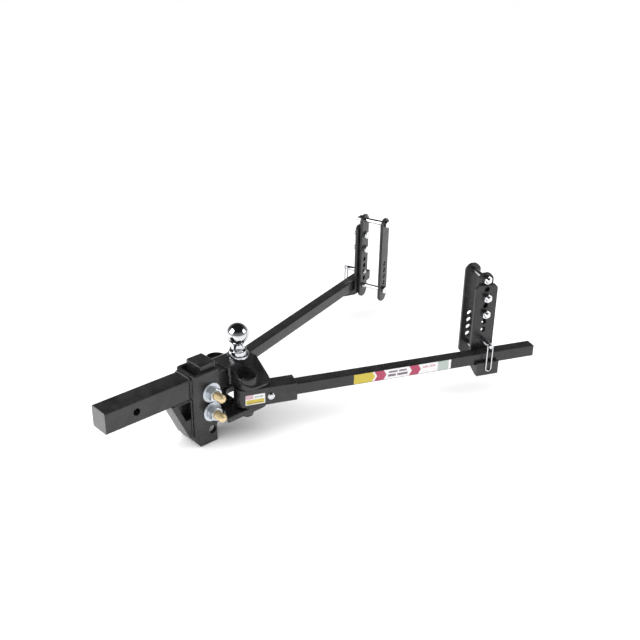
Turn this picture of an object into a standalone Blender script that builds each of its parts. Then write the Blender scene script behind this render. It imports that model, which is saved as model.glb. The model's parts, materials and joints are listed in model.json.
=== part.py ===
"""Weight distribution hitch with a drop shank, a tilting ball head and two swinging spring arms.

Frame: +X runs back towards the trailer, +Z is up and -Y is the tow vehicle's left side.
The origin is the middle of the shank bar's front end face. Lengths are metres.
"""

import math

import bmesh
import bpy

PLAY = 0.0003            # gap between pieces that touch
SLIP = 0.0005            # gap between pieces that slide on each other

# Shank: a square bar welded to the web of an upright channel.
BAR_SIDE = 0.0508
BAR_LENGTH = 0.2095
BAR_EDGE = 0.0042            # radius along its corners
BAR_PIN_X = 0.0735
BAR_PIN_RADIUS = 0.0082
CHANNEL_WALL = 0.0095
CHANNEL_INSIDE = 0.0510
CHANNEL_TOP = 0.0310
CHANNEL_BOTTOM = -0.1470
CHANNEL_DEPTH = 0.0675
CHANNEL_TOE_CUT = 0.0105
CHANNEL_TOE_HEIGHT = 0.0470
CHANNEL_CORNER = 0.0120
CHANNEL_HOLES = 3
CHANNEL_HOLE_PITCH = 0.0480
CHANNEL_TOP_HOLE_Z = -0.0190
CHANNEL_HOLE_X = 0.0440      # behind the web's front face
GUSSET_LEAD = 0.0515         # how far ahead of the web it meets the bar
GUSSET_TOE = 0.0080
GUSSET_STRIP = 0.0130
GUSSET_HALF = 0.0240
GUSSET_WEB_HALF = 0.0050

# Clamp bolts of the head, across the channel.
CLAMP_BOLT_RADIUS = 0.009525
CLAMP_SLACK = 0.000575       # between a clamp bolt and its holes
CLAMP_BOLT_POINT = 0.0050    # taper at the end of its thread
CLAMP_WASHER_RADIUS = 0.0230
CLAMP_WASHER_THICK = 0.0040
CLAMP_NUT_FLATS = 0.0286
CLAMP_NUT_HEIGHT = 0.0163
CLAMP_HEAD_HEIGHT = 0.0120
CLAMP_BOLT_TIP = 0.0260      # thread past the nut

# Head: a neck between the channel flanges, a top plate with the ball, and a bottom plate.
NECK_HALF = 0.0250
NECK_TOP = 0.0470
NECK_BOTTOM = -0.0960
NECK_FRONT_GAP = 0.0145      # free space in front of the neck, for the tilt
NECK_LENGTH = 0.0430
NECK_LIP = 0.0160            # height of the ledge behind the neck's top
NECK_FORK_DROP = 0.0200      # depth of the fork below the deck, at the ball's nut
NECK_FOOT = 0.0140           # how far the neck's rear wall stands behind its block
FOOT_HEIGHT = 0.0090
NUT_SWING = 0.0060           # free space round the ball's nut
TILT_LIMIT = math.radians(7.5)
# Sizes that end in BACK are measured from the neck's rear face.
DECK_TOP = 0.0200
DECK_THICK = 0.0200
DECK_HALF = 0.0270
DECK_FRONT_BACK = 0.0292
DECK_REAR_BACK = 0.1122
DECK_NOSE_HALF = 0.0285
WING_FRONT_BACK = 0.0332
WING_HALF = 0.0880
WING_TIP_TOP = -0.0185
WING_CORNER = 0.0280
WING_REAR_CORNER = 0.0140
WING_POCKET_HALF = 0.0290
PLATE_FRONT_BACK = 0.0072
PLATE_FRONT_HALF = 0.0400
PLATE_HORN_BACK = -0.0088    # its front corners reach further forward beside the channel
PLATE_HALF = 0.0740
PLATE_THICK = 0.0130
PLATE_CORNER = 0.0200
PLATE_WINDOW_RADIUS = 0.0300
BOSS_RADIUS = 0.0250
BOSS_TOP = 0.0015
BOSS_SINK = 0.0145
BOSS_WALL = 0.0045

# Ball.
BALL_BACK = 0.0812
BALL_RADIUS = 0.0254
BALL_CENTRE_HEIGHT = 0.0550
BALL_NECK_RADIUS = 0.0140
BALL_COLLAR_RADIUS = 0.0215
BALL_FLANGE_RADIUS = 0.0255
BALL_FLANGE_HEIGHT = 0.0070
BALL_SHANK_RADIUS = 0.0127
BALL_SHANK_LENGTH = 0.0500
BALL_NUT_FLATS = 0.0381
BALL_NUT_HEIGHT = 0.0180
BALL_WASHER_RADIUS = 0.0215
BALL_WASHER_THICK = 0.0045

# Sockets and spring arms.
PIVOT_BACK = 0.0597
PIVOT_Y = 0.0560
PIVOT_BOLT_RADIUS = 0.009525
PIVOT_HEAD_FLATS = 0.0254
PIVOT_HEAD_HEIGHT = 0.0110
PIVOT_NUT_HEIGHT = 0.0110
PIVOT_TIP = 0.0030
BUSHING_WALL = 0.0028
FRICTION_RADIUS = 0.0190
FRICTION_THICK = 0.0030
ARM_SIDE = 0.0286
ARM_TIP = 0.7240             # from the pivot axis
ARM_HEEL = 0.0225
ARM_END_CHAMFER = 0.0030
SOCKET_WALL = 0.0057
SOCKET_FLOOR = 0.0097
SOCKET_NOSE = 0.0095         # how far its nose is ahead of the pivot axis
SOCKET_LENGTH = 0.1120
SOCKET_AXIS_Z = -0.0470
LEFT_SPLAY = math.radians(23.9)
RIGHT_SPLAY = math.radians(15.7)
RETAINER_U = 0.0500
RETAINER_DROP = 0.0030       # below the arm's middle
RETAINER_RADIUS = 0.00476
RETAINER_HEAD_RADIUS = 0.0085
RETAINER_HEAD_HEIGHT = 0.0045
RETAINER_RIM = 0.0012
RETAINER_PAST = 0.0050       # how far it reaches past the socket

# Frame brackets that carry the arms.
LEFT_BRACKET_U = 0.5940
RIGHT_BRACKET_U = 0.6520
STRAP_WIDTH = 0.0400
STRAP_THICK = 0.0080
STRAP_TOP = 0.1600
STRAP_BOTTOM = -0.0840
STRAP_POINT = 0.0120
STRAP_CORNER = 0.0080
RAIL_GAP = 0.0550
ANGLE_WIDTH = 0.0580
ANGLE_THICK = 0.0080
ANGLE_TOP = 0.1330
ANGLE_CORNER = 0.0090
ANGLE_TO_ARM = 0.0010
FOOT_THICK = 0.0070
FOOT_RIB_DROP = 0.0265
LIP_GAP = 0.0027
LIP_THICK = 0.0070
LIP_RISE = 0.0085
STRAP_HOLES = 4
STRAP_HOLE_PITCH = 0.0190
STRAP_LOWEST_HOLE_Z = -0.0285
LOCK_PIN_HOLE = 1
ANGLE_HOLES = 6
ANGLE_HOLE_PITCH = 0.0210
ANGLE_LOWEST_HOLE_Z = 0.0170
ANGLE_BOLT_HOLES = (2, 4)
LOW_FRAME_BOLT_Z = -0.0505
TOP_FRAME_BOLT_Z = 0.1450
HALF_INCH_RADIUS = 0.00635
HALF_INCH_SLACK = 0.00045    # between a half-inch bolt or lock pin and its holes
HALF_INCH_FLATS = 0.0190
HALF_INCH_HEAD = 0.0072
HALF_INCH_NUT = 0.0100
HALF_INCH_JAM_NUT = 0.0065
BOLT_TIP = 0.0060
JAM_TIP = 0.0012
NUT_WINDOW_RADIUS = 0.0124
LOCK_PIN_RADIUS = 0.0063
LOCK_PIN_INNER = 0.0040
LOCK_PIN_END_RADIUS = 0.0050
LOCK_PIN_END_LENGTH = 0.0090
LOCK_PIN_PAST_BAIL = 0.0042
BAIL_WIRE = 0.0016
BAIL_LENGTH = 0.0660
BAIL_GRIP = 0.0020           # how far each wire end reaches into the pin

# Places worked out from the sizes above.
WEB_FRONT = BAR_LENGTH + PLAY
FLANGE_OUT = CHANNEL_INSIDE / 2 + CHANNEL_WALL
FLANGE_REAR = WEB_FRONT + CHANNEL_DEPTH
CLAMP_X = WEB_FRONT + CHANNEL_HOLE_X
CLAMP_HOLE_RADIUS = CLAMP_BOLT_RADIUS + CLAMP_SLACK
HALF_INCH_HOLE = HALF_INCH_RADIUS + HALF_INCH_SLACK
CLAMP_ZS = [CHANNEL_TOP_HOLE_Z - k * CHANNEL_HOLE_PITCH for k in range(CHANNEL_HOLES)]
NECK_FRONT = WEB_FRONT + CHANNEL_WALL + NECK_FRONT_GAP
NECK_REAR = NECK_FRONT + NECK_LENGTH
DECK_FRONT = NECK_REAR + DECK_FRONT_BACK
DECK_REAR = NECK_REAR + DECK_REAR_BACK
WING_FRONT = NECK_REAR + WING_FRONT_BACK
PLATE_FRONT = NECK_REAR + PLATE_FRONT_BACK
PLATE_HORN = NECK_REAR + PLATE_HORN_BACK
BALL_X = NECK_REAR + BALL_BACK
PIVOT_X = NECK_REAR + PIVOT_BACK
ARM_HALF = ARM_SIDE / 2
SOCKET_HALF = ARM_HALF + SLIP + SOCKET_WALL
SOCKET_LOW = ARM_HALF + SLIP + SOCKET_FLOOR
SOCKET_MIDDLE = (SOCKET_HALF - SOCKET_LOW) / 2
WING_BOTTOM = SOCKET_AXIS_Z + SOCKET_HALF + FRICTION_THICK + 2 * PLAY
PLATE_TOP = SOCKET_AXIS_Z - SOCKET_LOW - FRICTION_THICK - 2 * PLAY
PLATE_BOTTOM = PLATE_TOP - PLATE_THICK
PLATE_REAR = DECK_REAR
DECK_BOTTOM = DECK_TOP - DECK_THICK
BOSS_SEAT = BOSS_TOP - BOSS_SINK
BUSHING_BORE = PIVOT_BOLT_RADIUS + PLAY
BUSHING_RADIUS = BUSHING_BORE + BUSHING_WALL
STRAP_HOLE_ZS = [STRAP_LOWEST_HOLE_Z + k * STRAP_HOLE_PITCH for k in range(STRAP_HOLES)]
ANGLE_HOLE_ZS = [ANGLE_LOWEST_HOLE_Z + k * ANGLE_HOLE_PITCH for k in range(ANGLE_HOLES)]
LOCK_PIN_Z = STRAP_HOLE_ZS[LOCK_PIN_HOLE]
ANGLE_OUT = -ARM_HALF - ANGLE_TO_ARM
ANGLE_IN = ANGLE_OUT - ANGLE_THICK
OUTER_STRAP_OUT = ANGLE_IN - PLAY
OUTER_STRAP_IN = OUTER_STRAP_OUT - STRAP_THICK
INNER_STRAP_OUT = OUTER_STRAP_IN - RAIL_GAP
INNER_STRAP_IN = INNER_STRAP_OUT - STRAP_THICK
FOOT_TOP = SOCKET_AXIS_Z - ARM_HALF - PLAY
LIP_IN = ARM_HALF + LIP_GAP
LIP_OUT = LIP_IN + LIP_THICK
BAIL_V = LIP_OUT + BAIL_WIRE + SLIP
BAIL_HALF_WIDTH = LOCK_PIN_END_RADIUS + PLAY + BAIL_WIRE

BLACK = ("black_paint", (0.020, 0.020, 0.021), 0.38, 0.0)
BLACK_STEEL = ("black_oxide", (0.030, 0.030, 0.032), 0.42, 0.9)
CHROME = ("chrome_plate", (0.80, 0.80, 0.80), 0.08, 1.0)
ZINC = ("blue_zinc", (0.62, 0.66, 0.70), 0.28, 1.0)
YELLOW_ZINC = ("yellow_zinc", (0.72, 0.58, 0.34), 0.30, 1.0)
BRONZE = ("bearing_bronze", (0.55, 0.40, 0.22), 0.35, 1.0)
SPRING_STEEL = ("spring_steel", (0.022, 0.022, 0.023), 0.36, 0.0)


def clear_scene():
    """Remove every object, so that the model starts from an empty scene."""
    for thing in list(bpy.data.objects):
        bpy.data.objects.remove(thing, do_unlink=True)


def collection(name):
    """Return a new collection linked to the scene."""
    group = bpy.data.collections.new(name)
    bpy.context.scene.collection.children.link(group)
    return group


def material(spec):
    """Return the material of a finish, made once."""
    name, colour, roughness, metallic = spec
    found = bpy.data.materials.get(name)
    if found:
        return found
    made = bpy.data.materials.new(name)
    made.use_nodes = True
    shader = made.node_tree.nodes["Principled BSDF"]
    shader.inputs["Base Color"].default_value = (*colour, 1.0)
    shader.inputs["Roughness"].default_value = roughness
    shader.inputs["Metallic"].default_value = metallic
    return made


def empty(name, location, turn=(0.0, 0.0, 0.0), parent=None):
    """Add an empty that carries the pieces of one moving body."""
    frame = bpy.data.objects.new(name, None)
    frame.empty_display_size = 0.03
    frame.location = location
    frame.rotation_euler = turn
    frame.parent = parent
    PARTS.objects.link(frame)
    return frame


def mesh_object(name, bm, location=(0, 0, 0), turn=(0, 0, 0), parent=None):
    """Turn a bmesh into an object in the parts collection."""
    mesh = bpy.data.meshes.new(name)
    bm.to_mesh(mesh)
    bm.free()
    made = bpy.data.objects.new(name, mesh)
    made.location = location
    made.rotation_euler = turn
    made.parent = parent
    PARTS.objects.link(made)
    return made


QUARTER = math.pi / 2
ALONG = {"X": (0.0, QUARTER, 0.0), "Y": (QUARTER, 0.0, 0.0), "Z": (0.0, 0.0, 0.0)}
# A flat outline's own x and y become: X: y and z, Y: x and z, Z: x and y.
FACING = {"X": (QUARTER, 0.0, QUARTER), "Y": (QUARTER, 0.0, 0.0), "Z": (0.0, 0.0, 0.0)}


def box(name, low, high, parent=None):
    """Add a box between two corners."""
    bm = bmesh.new()
    bmesh.ops.create_cube(bm, size=1.0)
    size = [b - a for a, b in zip(low, high)]
    bmesh.ops.scale(bm, vec=size, verts=bm.verts)
    middle = [(a + b) / 2 for a, b in zip(low, high)]
    return mesh_object(name, bm, middle, parent=parent)


def rod(name, radius, length, centre, axis="Z", sides=20, parent=None):
    """Add a cylinder, or a prism when it has few sides."""
    bm = bmesh.new()
    bmesh.ops.create_cone(bm, cap_ends=True, segments=sides, radius1=radius, radius2=radius, depth=length)
    return mesh_object(name, bm, centre, ALONG[axis], parent)


def hexagon(name, flats, length, centre, axis="Z", parent=None):
    """Add a six-sided prism with the given size across its flats."""
    return rod(name, flats / math.sqrt(3.0), length, centre, axis, 6, parent)


def rounded(corners, steps=4):
    """Return outline points for corners given as (x, y) or (x, y, radius)."""
    points = []
    count = len(corners)
    for k, corner in enumerate(corners):
        x, y = corner[0], corner[1]
        radius = corner[2] if len(corner) > 2 else 0.0
        if radius <= 0.0:
            points.append((x, y))
            continue
        ax, ay = corners[k - 1][0] - x, corners[k - 1][1] - y
        bx, by = corners[(k + 1) % count][0] - x, corners[(k + 1) % count][1] - y
        la, lb = math.hypot(ax, ay), math.hypot(bx, by)
        ax, ay, bx, by = ax / la, ay / la, bx / lb, by / lb
        half = math.acos(max(-1.0, min(1.0, ax * bx + ay * by))) / 2
        reach = min(radius / math.tan(half), la * 0.49, lb * 0.49)
        radius = reach * math.tan(half)
        mx, my = (ax + bx), (ay + by)
        lm = math.hypot(mx, my)
        cx = x + mx / lm * radius / math.sin(half)
        cy = y + my / lm * radius / math.sin(half)
        first = math.atan2(y + ay * reach - cy, x + ax * reach - cx)
        last = math.atan2(y + by * reach - cy, x + bx * reach - cx)
        sweep = (last - first + math.pi) % (2 * math.pi) - math.pi
        for n in range(steps + 1):
            angle = first + sweep * n / steps
            points.append((cx + radius * math.cos(angle), cy + radius * math.sin(angle)))
    return points


def arc_slot(radius, half, swing, steps=8):
    """Return the outline of a round-ended slot that curves about the origin, centred below it."""
    turns = [swing - 2 * swing * n / steps for n in range(steps + 1)]
    points = [((radius + half) * math.sin(t), -(radius + half) * math.cos(t)) for t in turns]
    for end in (-1, 1):
        t = end * swing
        for n in range(1, steps):
            across = -end * half * math.cos(math.pi * n / steps)
            along = end * half * math.sin(math.pi * n / steps)
            x = (radius + across) * math.sin(t) + along * math.cos(t)
            points.append((x, along * math.sin(t) - (radius + across) * math.cos(t)))
        if end < 0:
            inner = radius - half
            points += [(inner * math.sin(t), -inner * math.cos(t)) for t in reversed(turns)]
    return points


def slab(name, points, thick, centre, axis="Z", parent=None):
    """Add a flat outline of the given thickness, facing along an axis."""
    curve = bpy.data.curves.new(name, "CURVE")
    curve.dimensions = "2D"
    curve.fill_mode = "BOTH"
    curve.extrude = thick / 2
    spline = curve.splines.new("POLY")
    spline.points.add(len(points) - 1)
    for point, (x, y) in zip(spline.points, points):
        point.co = (x, y, 0.0, 1.0)
    spline.use_cyclic_u = True
    flat = bpy.data.objects.new(name + "_outline", curve)
    flat.location = centre
    flat.rotation_euler = FACING[axis]
    flat.parent = parent
    PARTS.objects.link(flat)
    bpy.context.view_layer.update()
    graph = bpy.context.evaluated_depsgraph_get()
    mesh = bpy.data.meshes.new_from_object(flat.evaluated_get(graph))
    bpy.data.objects.remove(flat, do_unlink=True)
    bpy.data.curves.remove(curve)
    bm = bmesh.new()
    bm.from_mesh(mesh)
    bpy.data.meshes.remove(mesh)
    bmesh.ops.remove_doubles(bm, verts=bm.verts, dist=1e-6)
    bmesh.ops.dissolve_limit(bm, angle_limit=0.01, verts=bm.verts, edges=bm.edges)
    bmesh.ops.recalc_face_normals(bm, faces=bm.faces)
    return mesh_object(name, bm, centre, FACING[axis], parent)


def turned(name, profile, centre, axis="Z", steps=24, closed=False, parent=None):
    """Add a turned piece from (radius, height) points that run down its outer side."""
    bm = bmesh.new()
    verts = [bm.verts.new((radius, 0.0, height)) for radius, height in profile]
    for one, two in zip(verts, verts[1:]):
        bm.edges.new((one, two))
    if closed:
        bm.edges.new((verts[-1], verts[0]))
    made = mesh_object(name, bm, centre, ALONG[axis], parent)
    screw = made.modifiers.new("turn", "SCREW")
    screw.steps = steps
    screw.render_steps = steps
    screw.use_merge_vertices = True
    screw.merge_threshold = 0.00005
    return made


def ring(name, bore, radius, length, centre, axis="Z", steps=20, parent=None):
    """Add a plain ring."""
    half = length / 2
    profile = [(bore, half), (radius, half), (radius, -half), (bore, -half)]
    return turned(name, profile, centre, axis, steps, True, parent)


def bevel(made, width, segments=2):
    """Round the sharp edges of a piece."""
    edge = made.modifiers.new("edge", "BEVEL")
    edge.width = width
    edge.segments = segments
    edge.limit_method = "ANGLE"
    edge.angle_limit = math.radians(32.0)
    return made


def combine(made, tool, operation="DIFFERENCE"):
    """Cut a piece with a tool, or join or intersect them; the tool is hidden."""
    step = made.modifiers.new(tool.name, "BOOLEAN")
    step.operation = operation
    step.object = tool
    step.solver = "EXACT"
    for group in list(tool.users_collection):
        group.objects.unlink(tool)
    CUTTERS.objects.link(tool)
    tool.hide_render = True
    tool.display_type = "WIRE"
    return made


def dress(made, finish, round_piece=False):
    """Give a piece its material, and smooth shading when it is round."""
    made.data.materials.clear()
    made.data.materials.append(material(finish))
    if round_piece:
        made.data.shade_smooth()
        made.data.set_sharp_from_angle(angle=math.radians(35.0))
    return made


def bolt(name, radius, flats, head, length, seat, way, axis="Y", parent=None, point=0.0010):
    """Add a hex bolt whose head sits on `seat` and whose shank runs `way` (+1 or -1) along an axis."""
    slot = "XYZ".index(axis)
    head_at = list(seat)
    head_at[slot] -= way * head / 2
    shank_at = list(seat)
    overlap = head / 2
    shank_at[slot] += way * (length - overlap) / 2
    made = bevel(hexagon(name, flats, head, head_at, axis, parent), 0.0008, 1)
    shank = bevel(rod(name + "_shank", radius, length + overlap, shank_at, axis, 12, parent), point, 1)
    return combine(made, shank, "UNION")


def nut(name, radius, flats, height, centre, axis="Y", parent=None):
    """Add a hex nut with its bore."""
    sides = 12
    made = bevel(hexagon(name, flats, height, centre, axis, parent), 0.0008, 1)
    round_it = radius / math.cos(math.pi / sides)
    return combine(made, rod(name + "_bore", round_it, height * 2, centre, axis, sides, parent))


# ---------------------------------------------------------------- shank


def shank_bar():
    """The square bar that slides into the tow vehicle's receiver."""
    half = BAR_SIDE / 2
    square = [(half, half), (-half, half), (-half, -half), (half, -half)]
    section = rounded([corner + (BAR_EDGE,) for corner in square], 3)
    made = bevel(slab("shank_bar", section, BAR_LENGTH, (BAR_LENGTH / 2, 0, 0), "X"), 0.0008, 1)
    hole = rod("bar_pin_hole", BAR_PIN_RADIUS, BAR_SIDE * 2, (BAR_PIN_X, 0, 0), "Y")
    return dress(combine(made, hole), BLACK)


def shank_channel():
    """The upright channel: web in front, flanges running back, bolt holes in a column."""
    height = CHANNEL_TOP - CHANNEL_BOTTOM
    bend = CHANNEL_CORNER
    inner = CHANNEL_INSIDE / 2
    inner_bend = max(bend - CHANNEL_WALL, 0.0015)
    web_back = WEB_FRONT + CHANNEL_WALL
    section = rounded(
        [
            (FLANGE_REAR, -FLANGE_OUT),
            (FLANGE_REAR, -inner),
            (web_back, -inner, inner_bend),
            (web_back, inner, inner_bend),
            (FLANGE_REAR, inner),
            (FLANGE_REAR, FLANGE_OUT),
            (WEB_FRONT, FLANGE_OUT, bend),
            (WEB_FRONT, -FLANGE_OUT, bend),
        ]
    )
    middle = (CHANNEL_TOP + CHANNEL_BOTTOM) / 2
    made = bevel(slab("shank_channel", section, height, (0, 0, middle)), 0.0014, 1)
    toe_top = CHANNEL_BOTTOM + CHANNEL_TOE_HEIGHT
    toe = rounded(
        [
            (FLANGE_REAR - CHANNEL_TOE_CUT, toe_top, 0.010),
            (FLANGE_REAR + 0.02, toe_top + 0.012),
            (FLANGE_REAR + 0.02, CHANNEL_BOTTOM - 0.02),
            (FLANGE_REAR - CHANNEL_TOE_CUT, CHANNEL_BOTTOM - 0.02),
        ]
    )
    combine(made, slab("channel_toe", toe, FLANGE_OUT * 3, (0, 0, 0), "Y"))
    nose = [
        (WEB_FRONT - 0.01, CHANNEL_BOTTOM + 0.030),
        (WEB_FRONT - 0.01, CHANNEL_BOTTOM - 0.02),
        (WEB_FRONT + 0.026, CHANNEL_BOTTOM - 0.02),
    ]
    combine(made, slab("channel_nose", nose, FLANGE_OUT * 3, (0, 0, 0), "Y"))
    for k, z in enumerate(CLAMP_ZS):
        hole = rod("channel_hole_%d" % k, CLAMP_HOLE_RADIUS, FLANGE_OUT * 3, (CLAMP_X, 0, z), "Y")
        combine(made, hole)
    return dress(made, BLACK)


def shank_gusset():
    """The brace under the bar, hollowed from both sides."""
    under = -BAR_SIDE / 2 - PLAY
    back = WEB_FRONT - PLAY
    foot = CHANNEL_BOTTOM + 0.0250
    profile = rounded(
        [
            (back - GUSSET_LEAD, under),
            (back, under),
            (back, foot),
            (back - GUSSET_TOE, foot),
        ],
        4,
    )
    made = bevel(slab("shank_gusset", profile, GUSSET_HALF * 2, (0, 0, 0), "Y"), 0.0012, 1)
    low = under - 0.048
    slope = (GUSSET_LEAD - GUSSET_TOE) / (under - foot)
    strip_low = back - GUSSET_LEAD + GUSSET_STRIP + slope * (under - low)
    for side in (-1, 1):
        window = [
            (back - GUSSET_LEAD + GUSSET_STRIP + slope * 0.004, under - 0.004),
            (back + 0.01, under - 0.004),
            (back + 0.01, low),
            (strip_low, low),
        ]
        depth = GUSSET_HALF - GUSSET_WEB_HALF
        middle = side * (GUSSET_WEB_HALF + depth)
        combine(made, slab("gusset_window_%d" % side, window, depth * 2, (0, middle, 0), "Y"))
    return dress(made, BLACK)


def clamp_fasteners():
    """The two bolts across the channel, with their washers and nuts."""
    face = FLANGE_OUT + PLAY
    seat = face + CLAMP_WASHER_THICK + PLAY
    length = 2 * seat + CLAMP_NUT_HEIGHT + CLAMP_BOLT_TIP
    size = (CLAMP_BOLT_RADIUS, CLAMP_NUT_FLATS, CLAMP_HEAD_HEIGHT, length)
    for name, z in zip(("upper", "lower"), CLAMP_ZS):
        for end, side in (("nut", -1), ("head", 1)):
            at = (CLAMP_X, side * (face + CLAMP_WASHER_THICK / 2), z)
            title = "%s_%s_washer" % (name, end)
            bore = CLAMP_BOLT_RADIUS + PLAY
            dress(ring(title, bore, CLAMP_WASHER_RADIUS, CLAMP_WASHER_THICK, at, "Y", 24), ZINC, True)
        title = name + "_clamp_bolt"
        at = (CLAMP_X, seat, z)
        made = bolt(title, *size, at, -1, point=CLAMP_BOLT_POINT)
        dress(made, YELLOW_ZINC, True)
        at = (CLAMP_X, -seat - CLAMP_NUT_HEIGHT / 2, z)
        made = nut(name + "_clamp_nut", CLAMP_BOLT_RADIUS + PLAY, CLAMP_NUT_FLATS, CLAMP_NUT_HEIGHT, at)
        dress(made, ZINC, True)


# ---------------------------------------------------------------- head


def head_frame():
    """The empty on the tilt axis, which is the upper clamp bolt."""
    return empty("head_axis", (CLAMP_X, 0, CLAMP_ZS[0]))


def in_head(x, y, z):
    """Return a point in the head's own frame."""
    return (x - CLAMP_X, y, z - CLAMP_ZS[0])


def head_neck(parent):
    """The block between the channel flanges, forked behind so that its middle is open."""
    fork_top = DECK_BOTTOM - PLAY
    fork_low = PLATE_TOP + PLAY
    fork_rear = BALL_X - BALL_NUT_FLATS / math.sqrt(3.0) - NUT_SWING
    wall = NECK_REAR + NECK_FOOT
    foot_rear = PIVOT_X - 0.0100
    corners = [
        (NECK_FRONT, NECK_TOP, 0.004),
        (NECK_REAR, NECK_TOP, 0.004),
        (NECK_REAR, NECK_LIP, 0.002),
        (DECK_FRONT - PLAY, NECK_LIP),
        (DECK_FRONT - PLAY, fork_top),
        (fork_rear, fork_top),
        (fork_rear, fork_top - NECK_FORK_DROP),
        (wall, WING_BOTTOM - 0.012, 0.010),
        (wall, fork_low + FOOT_HEIGHT, 0.006),
        (foot_rear, fork_low + FOOT_HEIGHT - 0.002),
        (foot_rear, fork_low),
        (NECK_REAR, fork_low),
        (NECK_REAR, NECK_BOTTOM, 0.004),
        (NECK_FRONT, NECK_BOTTOM, 0.004),
    ]
    points = [in_head(c[0], 0, c[1])[::2] + tuple(c[2:]) for c in corners]
    made = bevel(slab("head_neck", rounded(points), NECK_HALF * 2, (0, 0, 0), "Y", parent), 0.0025, 1)
    low = in_head(DECK_FRONT - PLAY, -NECK_HALF * 2, DECK_BOTTOM - PLAY)
    high = in_head(DECK_REAR, NECK_HALF * 2, DECK_TOP + 0.01)
    combine(made, box("neck_deck_seat", low, high, parent))
    combine(made, rod("neck_tilt_hole", CLAMP_HOLE_RADIUS, NECK_HALF * 3, (0, 0, 0), "Y", parent=parent))
    # The lower bolt's hole is an arc about the tilt axis.
    slot = arc_slot(CHANNEL_HOLE_PITCH, CLAMP_HOLE_RADIUS, TILT_LIMIT)
    combine(made, slab("neck_tilt_slot", slot, NECK_HALF * 3, (0, 0, 0), "Y", parent))
    return dress(made, BLACK)


def head_top_plate(parent):
    """The forged top: a deck for the ball and a wing over each socket."""
    slope_end = WING_HALF + 0.002
    drop = (DECK_TOP - WING_TIP_TOP) / (WING_HALF - DECK_HALF) * (slope_end - DECK_HALF)
    half = [
        (DECK_HALF, DECK_TOP, 0.012),
        (slope_end, DECK_TOP - drop),
        (slope_end, WING_BOTTOM),
        (WING_POCKET_HALF, WING_BOTTOM),
        (WING_POCKET_HALF, DECK_BOTTOM),
    ]
    section = [in_head(0, *c[:2])[1:] + tuple(c[2:]) for c in half]
    mirrored = [(-c[0], c[1]) + tuple(c[2:]) for c in reversed(section)]
    reach = DECK_REAR - DECK_FRONT + 0.02
    centre_x = (DECK_REAR + DECK_FRONT) / 2 - CLAMP_X
    made = slab("head_top_plate", rounded(section + mirrored), reach, (centre_x, 0, 0), "X", parent)
    plan = [
        (DECK_FRONT, DECK_NOSE_HALF, 0.004),
        (WING_FRONT + 0.003, DECK_NOSE_HALF + 0.002, 0.006),
        (WING_FRONT, WING_HALF - 0.002, WING_CORNER),
        (DECK_REAR - 0.006, WING_HALF, WING_REAR_CORNER),
        (DECK_REAR, DECK_HALF, 0.030),
    ]
    plan = [in_head(c[0], c[1], 0)[:2] + tuple(c[2:]) for c in plan]
    plan += [(c[0], -c[1]) + tuple(c[2:]) for c in reversed(plan)]
    combine(made, slab("top_plan", rounded(plan), 0.2, (0, 0, 0), "Z", parent), "INTERSECT")
    bevel(made, 0.0012, 1)
    for side in (-1, 1):
        x, y, z = in_head(PIVOT_X, side * PIVOT_Y, 0)
        low = WING_BOTTOM + 0.004
        boss_at = (x, y, z + (BOSS_TOP + low) / 2)
        boss = rod("boss_%d" % side, BOSS_RADIUS, BOSS_TOP - low, boss_at, "Z", 24, parent)
        combine(made, bevel(boss, 0.0015, 1), "UNION")
        seat_at = (x, y, z + BOSS_SEAT + 0.03)
        combine(made, rod("seat_%d" % side, BOSS_RADIUS - BOSS_WALL, 0.06, seat_at, "Z", 24, parent))
        bore = rod("top_bore_%d" % side, PIVOT_BOLT_RADIUS + PLAY, 0.2, (x, y, z), "Z", parent=parent)
        combine(made, bore)
    hole = rod("ball_bore", BALL_SHANK_RADIUS + PLAY, 0.2, in_head(BALL_X, 0, 0), "Z", parent=parent)
    combine(made, hole)
    return dress(made, BLACK, True)


def head_bottom_plate(parent):
    """The lower plate, with a window for the ball nut's spanner."""
    plan = [
        (PLATE_FRONT, PLATE_FRONT_HALF, 0.006),
        (PLATE_HORN, PLATE_HALF, 0.003),
        (PLATE_REAR, PLATE_HALF, PLATE_CORNER),
        (PLATE_REAR, PLATE_HALF * 0.45, 0.012),
        (PLATE_REAR - 0.014, PLATE_HALF * 0.30, 0.012),
    ]
    plan = [in_head(c[0], c[1], 0)[:2] + tuple(c[2:]) for c in plan]
    plan += [(c[0], -c[1]) + tuple(c[2:]) for c in reversed(plan)]
    z = (PLATE_TOP + PLATE_BOTTOM) / 2
    made = slab("head_bottom_plate", rounded(plan), PLATE_THICK, in_head(CLAMP_X, 0, z), "Z", parent)
    bevel(made, 0.0015, 1)
    at = in_head(BALL_X, 0, z)
    combine(made, rod("nut_window", PLATE_WINDOW_RADIUS, PLATE_THICK * 3, at, "Z", 28, parent))
    for side in (-1, 1):
        at = in_head(PIVOT_X, side * PIVOT_Y, z)
        combine(made, rod("low_bore_%d" % side, PIVOT_BOLT_RADIUS + PLAY, 0.06, at, "Z", parent=parent))
    return dress(made, BLACK)


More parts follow.
